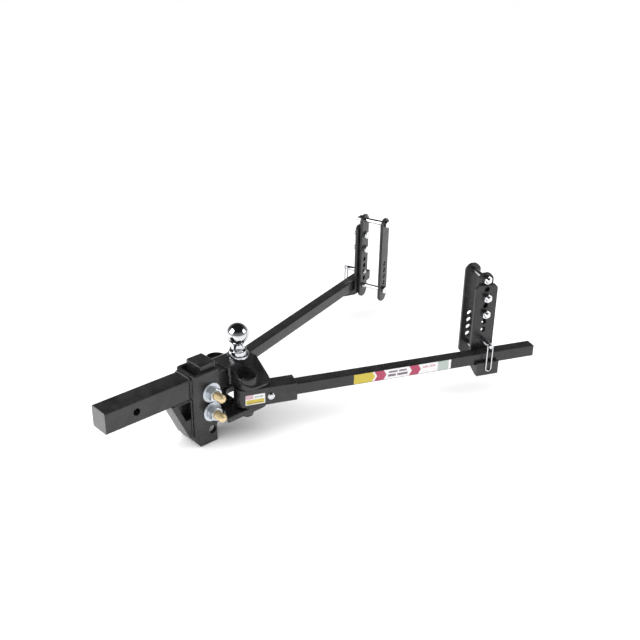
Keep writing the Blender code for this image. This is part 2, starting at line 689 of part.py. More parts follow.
def hitch_ball(parent):
    """The coupling ball with its collar, flange and threaded shank."""
    centre = BALL_CENTRE_HEIGHT
    leave = math.asin(BALL_NECK_RADIUS / BALL_RADIUS)
    steps = 10
    profile = []
    for n in range(steps + 1):
        angle = (math.pi - leave) * n / steps
        profile.append((BALL_RADIUS * math.sin(angle), centre + BALL_RADIUS * math.cos(angle)))
    profile += [
        (BALL_NECK_RADIUS, centre - BALL_RADIUS * math.cos(leave) - 0.0020),
        (BALL_NECK_RADIUS + 0.0012, BALL_FLANGE_HEIGHT + 0.0130),
        (BALL_COLLAR_RADIUS - 0.0020, BALL_FLANGE_HEIGHT + 0.0110),
        (BALL_COLLAR_RADIUS, BALL_FLANGE_HEIGHT + 0.0090),
        (BALL_COLLAR_RADIUS, BALL_FLANGE_HEIGHT),
        (BALL_FLANGE_RADIUS - 0.0010, BALL_FLANGE_HEIGHT - 0.0010),
        (BALL_FLANGE_RADIUS, BALL_FLANGE_HEIGHT - 0.0025),
        (BALL_FLANGE_RADIUS, PLAY),
        (BALL_SHANK_RADIUS, PLAY),
        (BALL_SHANK_RADIUS, 0.0010 - BALL_SHANK_LENGTH),
        (BALL_SHANK_RADIUS - 0.0010, -BALL_SHANK_LENGTH),
        (0.0, -BALL_SHANK_LENGTH),
    ]
    made = turned("hitch_ball", profile, in_head(BALL_X, 0, DECK_TOP), "Z", 24, parent=parent)
    return dress(made, CHROME, True)


def ball_fasteners(parent):
    """The lock washer and nut under the deck."""
    top = DECK_BOTTOM - PLAY
    at = in_head(BALL_X, 0, top - BALL_WASHER_THICK / 2)
    bore = BALL_SHANK_RADIUS + PLAY
    dress(ring("ball_lock_washer", bore, BALL_WASHER_RADIUS, BALL_WASHER_THICK, at, parent=parent), ZINC, True)
    at = in_head(BALL_X, 0, top - BALL_WASHER_THICK - PLAY - BALL_NUT_HEIGHT / 2)
    dress(nut("ball_nut", bore, BALL_NUT_FLATS, BALL_NUT_HEIGHT, at, "Z", parent), ZINC, True)


# ---------------------------------------------------------------- sockets and arms


def pivot_bolt(name, side, parent):
    """The upright bolt that a socket swings on, and the nut under the bottom plate."""
    seat = in_head(PIVOT_X, side * PIVOT_Y, BOSS_SEAT + PLAY)
    length = BOSS_SEAT - PLATE_BOTTOM + 2 * PLAY + PIVOT_NUT_HEIGHT + PIVOT_TIP
    title = name + "_pivot_bolt"
    made = bolt(title, PIVOT_BOLT_RADIUS, PIVOT_HEAD_FLATS, PIVOT_HEAD_HEIGHT, length, seat, -1, "Z", parent)
    dress(made, BLACK_STEEL, True)
    at = in_head(PIVOT_X, side * PIVOT_Y, PLATE_BOTTOM - PLAY - PIVOT_NUT_HEIGHT / 2)
    bore = PIVOT_BOLT_RADIUS + PLAY
    made = nut(name + "_pivot_nut", bore, PIVOT_HEAD_FLATS, PIVOT_NUT_HEIGHT, at, "Z", parent)
    dress(made, BLACK_STEEL, True)


def socket(name, parent):
    """The square socket with a round nose, a pivot bore and a retaining pin hole."""
    half = SOCKET_HALF
    steps = 10
    nose = [
        (-SOCKET_NOSE - half * math.sin(math.pi * n / steps), half * math.cos(math.pi * n / steps))
        for n in range(steps + 1)
    ]
    outline = nose + [(SOCKET_LENGTH, -half), (SOCKET_LENGTH, half)]
    height = SOCKET_HALF + SOCKET_LOW
    made = bevel(slab(name + "_socket", outline, height, (0, 0, SOCKET_MIDDLE), "Z", parent), 0.0018, 1)
    bore = ARM_HALF + SLIP
    low = (ARM_HEEL - SLIP, -bore, -bore)
    high = (SOCKET_LENGTH + 0.01, bore, bore)
    combine(made, box(name + "_socket_bore", low, high, parent))
    combine(made, rod(name + "_bushing_bore", BUSHING_RADIUS + PLAY, half * 3, (0, 0, 0), "Z", parent=parent))
    at = (RETAINER_U, 0, -RETAINER_DROP)
    combine(made, rod(name + "_retainer_hole", RETAINER_RADIUS + SLIP, half * 3, at, "Y", 14, parent))
    return dress(made, BLACK)


def socket_bearings(name, parent):
    """The bushing round the pivot bolt and the friction washers above and below."""
    length = SOCKET_HALF + SOCKET_LOW
    made = ring(name + "_bushing", BUSHING_BORE, BUSHING_RADIUS, length, (0, 0, SOCKET_MIDDLE), parent=parent)
    dress(made, BRONZE, True)
    reach = PLAY + FRICTION_THICK / 2
    for end, height in (("lower", -SOCKET_LOW - reach), ("upper", SOCKET_HALF + reach)):
        at = (0, 0, height)
        title = "%s_%s_friction_washer" % (name, end)
        dress(ring(title, BUSHING_BORE, FRICTION_RADIUS, FRICTION_THICK, at, parent=parent), BLACK_STEEL, True)


def spring_arm(name, parent):
    """The square spring arm, from inside its socket to past its bracket."""
    made = box(name + "_spring_arm", (ARM_HEEL, -ARM_HALF, -ARM_HALF), (ARM_TIP, ARM_HALF, ARM_HALF), parent)
    bevel(made, 0.0020, 2)
    at = (RETAINER_U, 0, -RETAINER_DROP)
    combine(made, rod(name + "_arm_hole", RETAINER_RADIUS + SLIP, ARM_SIDE * 2, at, "Y", 14, parent))
    return dress(made, SPRING_STEEL)


def retaining_pin(name, side, parent):
    """The round-headed pin that keeps the arm in its socket."""
    seat = SOCKET_HALF + PLAY
    rim = seat + RETAINER_RIM
    dome = RETAINER_HEAD_HEIGHT - RETAINER_RIM
    steps = 4
    profile = []
    for n in range(steps + 1):
        angle = QUARTER * n / steps
        profile.append((RETAINER_HEAD_RADIUS * math.sin(angle), rim + dome * math.cos(angle)))
    profile += [
        (RETAINER_HEAD_RADIUS, seat),
        (RETAINER_RADIUS, seat),
        (RETAINER_RADIUS, 0.0010 - seat - RETAINER_PAST),
        (RETAINER_RADIUS - 0.0010, -seat - RETAINER_PAST),
        (0.0, -seat - RETAINER_PAST),
    ]
    made = turned(name + "_retaining_pin", profile, (0, 0, 0), "Z", 16, parent=parent)
    made.rotation_euler = (-side * QUARTER, 0, 0)
    return dress(made, CHROME, True)


# ---------------------------------------------------------------- brackets


def strap(name, inner_face, holes, side, parent):
    """A frame strap: a tall flat bar with pointed ends and a column of holes."""
    half = STRAP_WIDTH / 2
    zero = SOCKET_AXIS_Z
    outline = rounded(
        [
            (-half, STRAP_BOTTOM + STRAP_POINT - zero, STRAP_CORNER),
            (-half * 0.45, STRAP_BOTTOM - zero, STRAP_CORNER),
            (half * 0.45, STRAP_BOTTOM - zero, STRAP_CORNER),
            (half, STRAP_BOTTOM + STRAP_POINT - zero, STRAP_CORNER),
            (half, STRAP_TOP - STRAP_POINT - zero, STRAP_CORNER),
            (half * 0.45, STRAP_TOP - zero, STRAP_CORNER),
            (-half * 0.45, STRAP_TOP - zero, STRAP_CORNER),
            (-half, STRAP_TOP - STRAP_POINT - zero, STRAP_CORNER),
        ],
        1,
    )
    middle = side * (inner_face + STRAP_THICK / 2)
    made = bevel(slab(name, outline, STRAP_THICK, (0, middle, 0), "Y", parent), 0.0010, 1)
    for k, z in enumerate(holes):
        at = (0, middle, z - zero)
        combine(made, rod("%s_hole_%d" % (name, k), HALF_INCH_HOLE, STRAP_THICK * 3, at, "Y", 12, parent))
    return dress(made, BLACK)


def angle_bracket(name, side, parent):
    """The angle whose foot carries the arm, with an upturned lip and ribs under the foot."""
    zero = SOCKET_AXIS_Z
    rib = FOOT_TOP - FOOT_RIB_DROP
    section = [
        (ANGLE_IN, ANGLE_TOP),
        (ANGLE_OUT, ANGLE_TOP),
        (ANGLE_OUT, FOOT_TOP, 0.001),
        (LIP_IN, FOOT_TOP, 0.001),
        (LIP_IN, FOOT_TOP + LIP_RISE),
        (LIP_OUT, FOOT_TOP + LIP_RISE),
        (LIP_OUT, rib),
        (LIP_IN - 0.004, rib),
        (ANGLE_IN, rib + 0.016, 0.006),
    ]
    section = [(side * c[0], c[1] - zero) + tuple(c[2:]) for c in section]
    made = bevel(slab(name, rounded(section, 3), ANGLE_WIDTH, (0, 0, 0), "X", parent), 0.0010, 1)
    half = ANGLE_WIDTH / 2
    wide = ANGLE_WIDTH / 2 + 0.02
    top = ANGLE_TOP - zero
    for end in (-1, 1):
        corner = [
            (end * (half - ANGLE_CORNER), top + 0.001),
            (end * wide, top + 0.001),
            (end * wide, top - ANGLE_CORNER - 0.02),
            (end * half, top - ANGLE_CORNER),
        ]
        combine(made, slab("%s_corner_%d" % (name, end), corner, 0.2, (0, 0, 0), "Y", parent))
    across = sorted((side * (ANGLE_IN + 0.006), side * (LIP_IN - 0.002)))
    pocket_low = (-half + FOOT_THICK, across[0], rib - 0.01 - zero)
    pocket_high = (half - FOOT_THICK, across[1], FOOT_TOP - FOOT_THICK - zero)
    combine(made, box(name + "_pocket", pocket_low, pocket_high, parent))
    middle = side * (ANGLE_IN + ANGLE_OUT) / 2
    for k, z in enumerate([LOCK_PIN_Z] + ANGLE_HOLE_ZS):
        at = (0, middle, z - zero)
        combine(made, rod("%s_hole_%d" % (name, k), HALF_INCH_HOLE, ANGLE_THICK * 2, at, "Y", 12, parent))
    at = (0, middle, LOW_FRAME_BOLT_Z - zero)
    combine(made, rod(name + "_nut_window", NUT_WINDOW_RADIUS, ANGLE_THICK * 2, at, "Y", 20, parent))
    return dress(made, BLACK)


def bracket_fasteners(name, side, parent):
    """The frame bolts between the straps and the bolts that hold the angle."""
    zero = SOCKET_AXIS_Z
    bore = HALF_INCH_RADIUS + PLAY
    grip = OUTER_STRAP_OUT - INNER_STRAP_IN + 2 * PLAY
    frame = (
        ("low", LOW_FRAME_BOLT_Z, HALF_INCH_JAM_NUT, JAM_TIP),
        ("top", TOP_FRAME_BOLT_Z, HALF_INCH_NUT, BOLT_TIP),
    )
    for end, z, height, tip in frame:
        seat = (0, side * (INNER_STRAP_IN - PLAY), z - zero)
        title = "%s_%s_frame_bolt" % (name, end)
        length = grip + height + tip
        made = bolt(title, HALF_INCH_RADIUS, HALF_INCH_FLATS, HALF_INCH_HEAD, length, seat, side, "Y", parent)
        dress(made, CHROME, True)
        at = (0, side * (OUTER_STRAP_OUT + PLAY + height / 2), z - zero)
        made = nut("%s_%s_frame_nut" % (name, end), bore, HALF_INCH_FLATS, height, at, "Y", parent)
        dress(made, CHROME, True)
    grip = ANGLE_OUT - OUTER_STRAP_IN + 2 * PLAY
    length = grip + HALF_INCH_NUT + BOLT_TIP
    for end, number in zip(("low", "top"), ANGLE_BOLT_HOLES):
        z = ANGLE_HOLE_ZS[number] - zero
        seat = (0, side * (OUTER_STRAP_IN - PLAY), z)
        title = "%s_%s_angle_bolt" % (name, end)
        made = bolt(title, HALF_INCH_RADIUS, HALF_INCH_FLATS, HALF_INCH_HEAD, length, seat, side, "Y", parent)
        dress(made, CHROME, True)
        at = (0, side * (ANGLE_OUT + PLAY + HALF_INCH_NUT / 2), z)
        made = nut("%s_%s_angle_nut" % (name, end), bore, HALF_INCH_FLATS, HALF_INCH_NUT, at, "Y", parent)
        dress(made, CHROME, True)


def lock_pin(name, side, parent):
    """The cross pin over the arm, stepped down at its outer end where the bail's wire goes through."""
    tip = BAIL_V + LOCK_PIN_PAST_BAIL
    step = tip - LOCK_PIN_END_LENGTH
    inner = OUTER_STRAP_IN - LOCK_PIN_INNER
    profile = [
        (0.0, tip),
        (LOCK_PIN_END_RADIUS - 0.0010, tip),
        (LOCK_PIN_END_RADIUS, tip - 0.0010),
        (LOCK_PIN_END_RADIUS, step),
        (LOCK_PIN_RADIUS - 0.0006, step),
        (LOCK_PIN_RADIUS, step - 0.0006),
        (LOCK_PIN_RADIUS, inner + 0.0020),
        (LOCK_PIN_RADIUS - 0.0020, inner),
        (0.0, inner),
    ]
    made = turned(name + "_lock_pin", profile, (0, 0, 0), "Z", 16, parent=parent)
    made.rotation_euler = (-side * QUARTER, 0, 0)
    at = (0, side * BAIL_V, 0)
    hole = rod(name + "_bail_hole", BAIL_WIRE + SLIP, LOCK_PIN_RADIUS * 4, at, "X", 12, parent)
    return dress(combine(made, hole), CHROME, True)


def bail(name, side, parent):
    """The wire loop whose ends turn in the pin's cross hole; it hangs outside the lip."""
    half = BAIL_HALF_WIDTH
    inside = LOCK_PIN_END_RADIUS - BAIL_GRIP
    soft = BAIL_WIRE
    steps = 6
    points = [(-inside, 0.0), (soft - half, 0.0), (-half, -soft)]
    centre = half - BAIL_LENGTH
    for n in range(steps + 1):
        angle = math.pi * n / steps
        points.append((-half * math.cos(angle), centre - half * math.sin(angle)))
    points += [(half, -soft), (half - soft, 0.0), (inside, 0.0)]
    curve = bpy.data.curves.new(name + "_bail", "CURVE")
    curve.dimensions = "3D"
    curve.bevel_depth = BAIL_WIRE
    curve.bevel_resolution = 2
    curve.use_fill_caps = True
    spline = curve.splines.new("POLY")
    spline.points.add(len(points) - 1)
    for point, (x, z) in zip(spline.points, points):
        point.co = (x, 0.0, z, 1.0)
    made = bpy.data.objects.new(name + "_bail", curve)
    made.parent = parent
    PARTS.objects.link(made)
    curve.materials.append(material(CHROME))
    return made


def build_side(name, side, splay, bracket_u, head):
    """Everything on one side of the head."""
    pivot = in_head(PIVOT_X, side * PIVOT_Y, SOCKET_AXIS_Z)
    arm_axis = empty(name + "_arm_axis", pivot, (0, 0, side * splay), head)
    pivot_bolt(name, side, head)
    socket(name, arm_axis)
    socket_bearings(name, arm_axis)
    spring_arm(name, arm_axis)
    retainer_axis = empty(name + "_retainer_axis", (RETAINER_U, 0, -RETAINER_DROP), parent=arm_axis)
    retaining_pin(name, side, retainer_axis)
    bracket_axis = empty(name + "_bracket_axis", (bracket_u, 0, 0), parent=arm_axis)
    column = [LOW_FRAME_BOLT_Z] + STRAP_HOLE_ZS + [TOP_FRAME_BOLT_Z]
    strap(name + "_inner_plate", INNER_STRAP_IN, column, side, bracket_axis)
    column += [ANGLE_HOLE_ZS[number] for number in ANGLE_BOLT_HOLES]
    strap(name + "_outer_plate", OUTER_STRAP_IN, column, side, bracket_axis)
    angle_bracket(name + "_angle_bracket", side, bracket_axis)
    bracket_fasteners(name, side, bracket_axis)
    pin_axis = empty(name + "_pin_axis", (0, 0, LOCK_PIN_Z - SOCKET_AXIS_Z), parent=bracket_axis)
    lock_pin(name, side, pin_axis)
    bail_axis = empty(name + "_bail_axis", (0, side * BAIL_V, 0), parent=pin_axis)
    bail(name, side, bail_axis)


def main():
    """Build the hitch."""
    shank_bar()
    shank_channel()
    shank_gusset()
    clamp_fasteners()
    head = head_frame()
    head_neck(head)
    head_top_plate(head)
    head_bottom_plate(head)
    hitch_ball(head)
    ball_fasteners(head)
    build_side("left", -1, LEFT_SPLAY, LEFT_BRACKET_U, head)
    build_side("right", 1, RIGHT_SPLAY, RIGHT_BRACKET_U, head)


clear_scene()
PARTS = collection("weight_distribution_hitch")
CUTTERS = collection("cutters")
main()
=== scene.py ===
"""Looks of a weight distribution hitch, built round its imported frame.

Frame: +X runs back towards the trailer, +Y is the tow vehicle's right and +Z is up. Lengths are metres.
The bare frame keeps its shape: its big steel pieces get their finishes here, and its fasteners, ball, pins
and wire loops are replaced by finely turned ones of the same sizes.
"""

from __future__ import annotations

import cmath
import json
import logging
import math
from collections.abc import Callable, Sequence
from dataclasses import dataclass
from enum import Enum

import bmesh
import bpy
from mathutils import Matrix, Vector


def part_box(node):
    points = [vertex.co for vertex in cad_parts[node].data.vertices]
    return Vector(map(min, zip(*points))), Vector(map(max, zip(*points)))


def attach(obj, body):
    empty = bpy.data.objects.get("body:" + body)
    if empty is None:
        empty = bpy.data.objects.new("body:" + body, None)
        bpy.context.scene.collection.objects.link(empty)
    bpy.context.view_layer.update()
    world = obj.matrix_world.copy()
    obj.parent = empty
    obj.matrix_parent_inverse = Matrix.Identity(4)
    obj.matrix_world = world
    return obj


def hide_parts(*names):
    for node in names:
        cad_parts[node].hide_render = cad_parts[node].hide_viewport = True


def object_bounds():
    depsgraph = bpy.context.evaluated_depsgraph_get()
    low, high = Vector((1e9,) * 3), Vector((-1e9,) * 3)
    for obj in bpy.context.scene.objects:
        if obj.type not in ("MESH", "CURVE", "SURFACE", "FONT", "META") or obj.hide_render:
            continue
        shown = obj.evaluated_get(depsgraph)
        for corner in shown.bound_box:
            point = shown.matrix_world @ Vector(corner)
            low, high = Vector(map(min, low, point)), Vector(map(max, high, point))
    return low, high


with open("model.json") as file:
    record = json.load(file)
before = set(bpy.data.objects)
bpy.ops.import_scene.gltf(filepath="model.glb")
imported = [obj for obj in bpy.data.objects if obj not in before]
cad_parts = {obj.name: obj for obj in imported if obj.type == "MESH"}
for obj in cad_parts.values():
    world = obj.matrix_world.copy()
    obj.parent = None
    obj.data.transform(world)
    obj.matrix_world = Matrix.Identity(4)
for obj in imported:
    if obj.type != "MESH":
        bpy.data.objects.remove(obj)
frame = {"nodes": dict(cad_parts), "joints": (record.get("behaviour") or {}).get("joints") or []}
CAD_BOX = [list(corner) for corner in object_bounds()]
LOG = logging.getLogger("hitch")
MM = 0.001
TAU = 2 * math.pi
SHARP = 46.0  # degrees from which an edge of a frame node is sharp
CORNER_GAP = 0.02 * MM
EDGE_BREAK = 0.4 * MM
UP = Vector((0, 0, 1))
Colour = tuple[float, float, float]
Socket = bpy.types.NodeSocket


# ---- finishes


class Graph:
    """A material's node tree with short calls for adding to it."""

    def __init__(self, name: str) -> None:
        """Start a material with a Principled shader.

        Args:
            name: The material's name.
        """
        self.material = bpy.data.materials.new(name)
        self.material.use_nodes = True
        self.tree = self.material.node_tree
        self.shader = self.tree.nodes["Principled BSDF"]
        place = self.tree.nodes.new("ShaderNodeTexCoord")
        self.place = place.outputs["Object"]

    def add(self, kind: str, **sockets: object) -> bpy.types.Node:
        """Add a node.

        Args:
            kind: The node's class name without its ShaderNode prefix.
            **sockets: Input names, with _ for a space, and a value or an output to link.

        Returns:
            The new node.
        """
        node = self.tree.nodes.new("ShaderNode" + kind)
        for name, value in sockets.items():
            self.feed(node, name.replace("_", " "), value)
        return node

    def feed(self, node: bpy.types.Node, name: str, value: object) -> None:
        """Set or link one input.

        Args:
            node: The node that takes it.
            name: The input's name.
            value: A plain value, or another node's output.
        """
        if isinstance(value, Socket):
            self.tree.links.new(value, node.inputs[name])
        else:
            node.inputs[name].default_value = value

    def noise(self, size: float, detail: float, stretch: Colour = (1, 1, 1)) -> Socket:
        """Add a noise pattern.

        Args:
            size: The pattern's grain in metres.
            detail: How many finer layers it has.
            stretch: Scale along each axis.

        Returns:
            The pattern's value.
        """
        mapping = self.add("Mapping", Vector=self.place, Scale=stretch)
        node = self.add("TexNoise", Vector=mapping.outputs[0], Scale=1 / size, Detail=detail, Roughness=0.6)
        return node.outputs["Fac"]

    def band(self, value: Socket, low: float, high: float, a: float, b: float) -> Socket:
        """Map a pattern's middle range onto new limits.

        Args:
            value: The pattern.
            low: The pattern's value that gives a.
            high: The pattern's value that gives b.
            a: The lower result.
            b: The upper result.

        Returns:
            The mapped value.
        """
        node = self.add("MapRange", Value=value, From_Min=low, From_Max=high, To_Min=a, To_Max=b)
        return node.outputs["Result"]

    def ramp(self, value: Socket, stops: Sequence[tuple[float, Colour]]) -> Socket:
        """Colour a pattern.

        Args:
            value: The pattern.
            stops: Positions and colours, in order.

        Returns:
            The colour.
        """
        node = self.add("ValToRGB", Fac=value)
        points = node.color_ramp.elements
        while len(points) < len(stops):
            points.new(0.5)
        for point, (position, colour) in zip(points, stops):
            point.position = position
            point.color = (*colour, 1.0)
        return node.outputs["Color"]

    def plus(self, one: Socket, other: Socket) -> Socket:
        """Add two colours.

        Args:
            one: The first colour.
            other: The second colour.

        Returns:
            Their sum.
        """
        node = self.add("VectorMath")
        self.tree.links.new(one, node.inputs[0])
        self.tree.links.new(other, node.inputs[1])
        return node.outputs[0]

    def bump(self, height: Socket, depth: float, under: object = None) -> Socket:
        """Turn a pattern into relief.

        Args:
            height: The pattern.
            depth: Its depth in metres.
            under: Relief that this one lies on.

        Returns:
            The shading normal.
        """
        node = self.add("Bump", Height=height, Distance=depth, Strength=1.0)
        if under is not None:
            self.feed(node, "Normal", under)
        return node.outputs["Normal"]


@dataclass(frozen=True)
class PowderCoat:
    """Black powder coat: orange peel, dull dusty patches and fine rubbed lines, and optionally a painted
    highlight that lightens the front end.
    """

    name: str
    slot: str
    deep: Colour = (0.0060, 0.0060, 0.0064)
    dusty: Colour = (0.017, 0.017, 0.018)
    roughness: float = 0.24
    spread: float = 0.12
    peel: float = 1.6 * MM
    peel_depth: float = 0.04 * MM
    cast: float = 0.0
    # painted highlight: the depth from the front end over which the coat is painted lighter grey, standing
    # in for light on the end face
    end_highlight_depth: float = 0.0
    patch: float = 34 * MM
    rub: float = 5 * MM
    gloss_patch: float = 11 * MM
    cast_grain: float = 7 * MM

    def make(self) -> bpy.types.Material:
        """Build the material."""
        graph = Graph(self.name)
        patch = graph.noise(self.patch, 5.0)
        rubbed = graph.noise(self.rub, 6.0, (0.12, 1.0, 1.0))
        colour = graph.ramp(patch, [(0.35, self.deep), (0.62, self.dusty)])
        line = graph.ramp(rubbed, [(0.64, (0, 0, 0)), (0.80, (0.018, 0.018, 0.018))])
        coat = graph.plus(colour, line)
        # Painted highlight: lighter grey painted on the front end, standing in for the light that falls on
        # the bar's end face.
        if self.end_highlight_depth:
            ahead = graph.add("SeparateXYZ", Vector=graph.place).outputs["X"]
            thin = graph.band(ahead, self.end_highlight_depth, self.end_highlight_depth / 3, 0.0, 1.0)
            grey = graph.ramp(thin, [(0.0, (0, 0, 0)), (1.0, (0.055, 0.053, 0.052))])
            coat = graph.plus(coat, grey)
        graph.feed(graph.shader, "Base Color", coat)
        shine = graph.noise(self.gloss_patch, 4.0)
        rough = graph.band(shine, 0.3, 0.7, self.roughness, self.roughness + self.spread)
        graph.feed(graph.shader, "Roughness", rough)
        relief = graph.bump(graph.noise(self.peel, 2.0), self.peel_depth)
        if self.cast:
            relief = graph.bump(graph.noise(self.cast_grain, 3.0), self.cast, relief)
        graph.feed(graph.shader, "Normal", relief)
        return graph.material


@dataclass(frozen=True)
class Plate:
    """Plated or bare metal: tinted patches, fine grain in its gloss, and small handling marks."""

    name: str
    slot: str
    tints: tuple[tuple[float, Colour], ...]
    roughness: float
    spread: float
    patch: float = 9 * MM
    grain: float = 0.9 * MM
    depth: float = 0.008 * MM

    def make(self) -> bpy.types.Material:
        """Build the material."""
        graph = Graph(self.name)
        graph.feed(graph.shader, "Metallic", 1.0)
        graph.feed(graph.shader, "Base Color", graph.ramp(graph.noise(self.patch, 4.0), self.tints))
        marks = graph.noise(self.grain * 3, 5.0)
        rough = graph.band(marks, 0.35, 0.7, self.roughness, self.roughness + self.spread)
        graph.feed(graph.shader, "Roughness", rough)
        graph.feed(graph.shader, "Normal", graph.bump(graph.noise(self.grain, 3.0), self.depth))
        return graph.material


@dataclass(frozen=True)
class Ink:
    """Printed film: an ink over a faint mottle, glossy and very slightly rippled."""

    name: str
    slot: str
    light: Colour
    dark: Colour
    grain: float = 3.5 * MM
    gloss_patch: float = 6 * MM
    ripple: float = 9 * MM
    ripple_depth: float = 0.05 * MM

    def make(self) -> bpy.types.Material:
        """Build the material."""
        graph = Graph(self.name)
        mottle = graph.noise(self.grain, 5.0)
        graph.feed(graph.shader, "Base Color", graph.ramp(mottle, [(0.35, self.dark), (0.6, self.light)]))
        rough = graph.band(graph.noise(self.gloss_patch, 3.0), 0.3, 0.7, 0.28, 0.46)
        graph.feed(graph.shader, "Roughness", rough)
        graph.feed(graph.shader, "Normal", graph.bump(graph.noise(self.ripple, 2.0), self.ripple_depth))
        return graph.material


class Finish(Enum):
    """Every finish on the hitch."""

    BLACK = PowderCoat("black_powder_coat", "black_paint")
    # painted highlight: the bar's front end face is painted lighter grey, standing in for the light it
    # catches
    SAWN = PowderCoat("black_bar_painted_end_highlight", "black_paint", end_highlight_depth=1.2 * MM)
    FORGED = PowderCoat("black_on_forging", "black_paint", roughness=0.20, cast=0.14 * MM)
    ARM = PowderCoat(
        "spring_arm_coat", "arm_coating", (0.0055, 0.0055, 0.006), (0.014, 0.014, 0.015), 0.22, 0.10
    )
    WELD = PowderCoat("painted_weld", "black_paint", roughness=0.18, peel=1.1 * MM, cast=0.08 * MM)
    CHROME = Plate(
        "chrome_plate", "chrome", ((0.3, (0.62, 0.63, 0.65)), (0.7, (0.52, 0.53, 0.55))), 0.045, 0.07
    )
    BRIGHT_ZINC = Plate(
        "bright_zinc", "bright_zinc", ((0.3, (0.62, 0.63, 0.65)), (0.7, (0.46, 0.47, 0.50))), 0.15, 0.14
    )
    BLUE_ZINC = Plate(
        "blue_zinc",
        "blue_zinc",
        (
            (0.30, (0.34, 0.44, 0.54)),
            (0.45, (0.60, 0.65, 0.69)),
            (0.58, (0.45, 0.46, 0.60)),
            (0.72, (0.34, 0.50, 0.52)),
        ),
        0.17,
        0.16,
    )
    YELLOW_ZINC = Plate(
        "yellow_zinc",
        "yellow_zinc",
        (
            (0.30, (0.78, 0.50, 0.22)),
            (0.48, (0.86, 0.74, 0.40)),
            (0.62, (0.80, 0.42, 0.34)),
            (0.76, (0.50, 0.54, 0.34)),
        ),
        0.18,
        0.14,
        6 * MM,
    )
    BLACK_OXIDE = Plate(
        "black_oxide",
        "black_steel",
        ((0.3, (0.050, 0.050, 0.054)), (0.7, (0.095, 0.093, 0.092))),
        0.30,
        0.16,
    )
    BRONZE = Plate(
        "bearing_bronze", "bronze", ((0.3, (0.52, 0.36, 0.18)), (0.7, (0.38, 0.25, 0.13))), 0.30, 0.18
    )
    YELLOW_INK = Ink("label_yellow", "arm_coating", (0.56, 0.45, 0.045), (0.46, 0.36, 0.04))
    CRIMSON_INK = Ink("label_crimson", "arm_coating", (0.40, 0.045, 0.105), (0.31, 0.035, 0.08))
    WHITE_INK = Ink("label_white", "arm_coating", (0.78, 0.77, 0.77), (0.66, 0.64, 0.66))
    PINK_INK = Ink("label_pink", "arm_coating", (0.60, 0.42, 0.45), (0.50, 0.33, 0.37))
    GREY_INK = Ink("label_grey", "arm_coating", (0.42, 0.47, 0.44), (0.33, 0.38, 0.36))
    DARK_INK = Ink("label_dark", "arm_coating", (0.17, 0.13, 0.16), (0.12, 0.09, 0.12))

    def material(self) -> bpy.types.Material:
        """Return the finish's material, made the first time it is asked for."""
        return bpy.data.materials.get(self.value.name) or self.value.make()


def dress(piece: bpy.types.Object, finish: Finish) -> bpy.types.Object:
    """Give a piece one finish all over.

    Args:
        piece: A frame node or a new piece.
        finish: Its finish.

    Returns:
        The piece.
    """
    piece.data.materials.clear()
    piece.data.materials.append(finish.material())
    return piece


def soft_shading() -> bpy.types.NodeTree:
    """Return the node group that shades a mesh smooth except at its sharp edges."""
    name = "smooth_but_for_sharp_edges"
    if name in bpy.data.node_groups:
        return bpy.data.node_groups[name]
    group = bpy.data.node_groups.new(name, "GeometryNodeTree")
    group.is_modifier = True
    for way in ("INPUT", "OUTPUT"):
        group.interface.new_socket("Geometry", in_out=way, socket_type="NodeSocketGeometry")
    start = group.nodes.new("NodeGroupInput")
    end = group.nodes.new("NodeGroupOutput")
    smooth = group.nodes.new("GeometryNodeSetShadeSmooth")
    smooth.domain = "FACE"
    crease = group.nodes.new("GeometryNodeSetShadeSmooth")
    crease.domain = "EDGE"
    crease.inputs["Shade Smooth"].default_value = False
    angle = group.nodes.new("GeometryNodeInputMeshEdgeAngle")
    over = group.nodes.new("ShaderNodeMath")
    over.operation = "GREATER_THAN"
    over.inputs[1].default_value = math.radians(SHARP)
    group.links.new(start.outputs[0], smooth.inputs["Geometry"])
    group.links.new(smooth.outputs[0], crease.inputs["Geometry"])
    group.links.new(angle.outputs["Unsigned Angle"], over.inputs[0])
    group.links.new(over.outputs[0], crease.inputs["Selection"])
    group.links.new(crease.outputs[0], end.inputs[0])
    return group


def dress_nodes(names: Sequence[str], finish: Finish) -> None:
    """Give frame nodes that keep their shape a finish, with softly rounded shading at their edges.

    Args:
        names: The nodes.
        finish: Their finish.
    """
    for name in names:
        node = dress(frame["nodes"][name], finish)
        weld = node.modifiers.new("joined_corners", "WELD")
        weld.merge_threshold = CORNER_GAP
        edge = node.modifiers.new("broken_edges", "BEVEL")
        edge.width = EDGE_BREAK
        edge.segments = 2
        edge.limit_method = "ANGLE"
        edge.angle_limit = math.radians(SHARP)
        edge.use_clamp_overlap = True
        soft = node.modifiers.new("soft_shading", "NODES")
        soft.node_group = soft_shading()
        flat = node.modifiers.new("flat_faces", "WEIGHTED_NORMAL")
        flat.keep_sharp = True
        LOG.info("%s: %s", name, finish.value.name)


# ---- measuring the frame


@dataclass(frozen=True)
class Seat:
    """Where a turned piece sits: its own frame, with +Z along its axis, and its two ends on that axis."""

    place: Matrix
    low: float
    high: float

    @property
    def length(self) -> float:
        """The piece's length along its axis."""
        return self.high - self.low


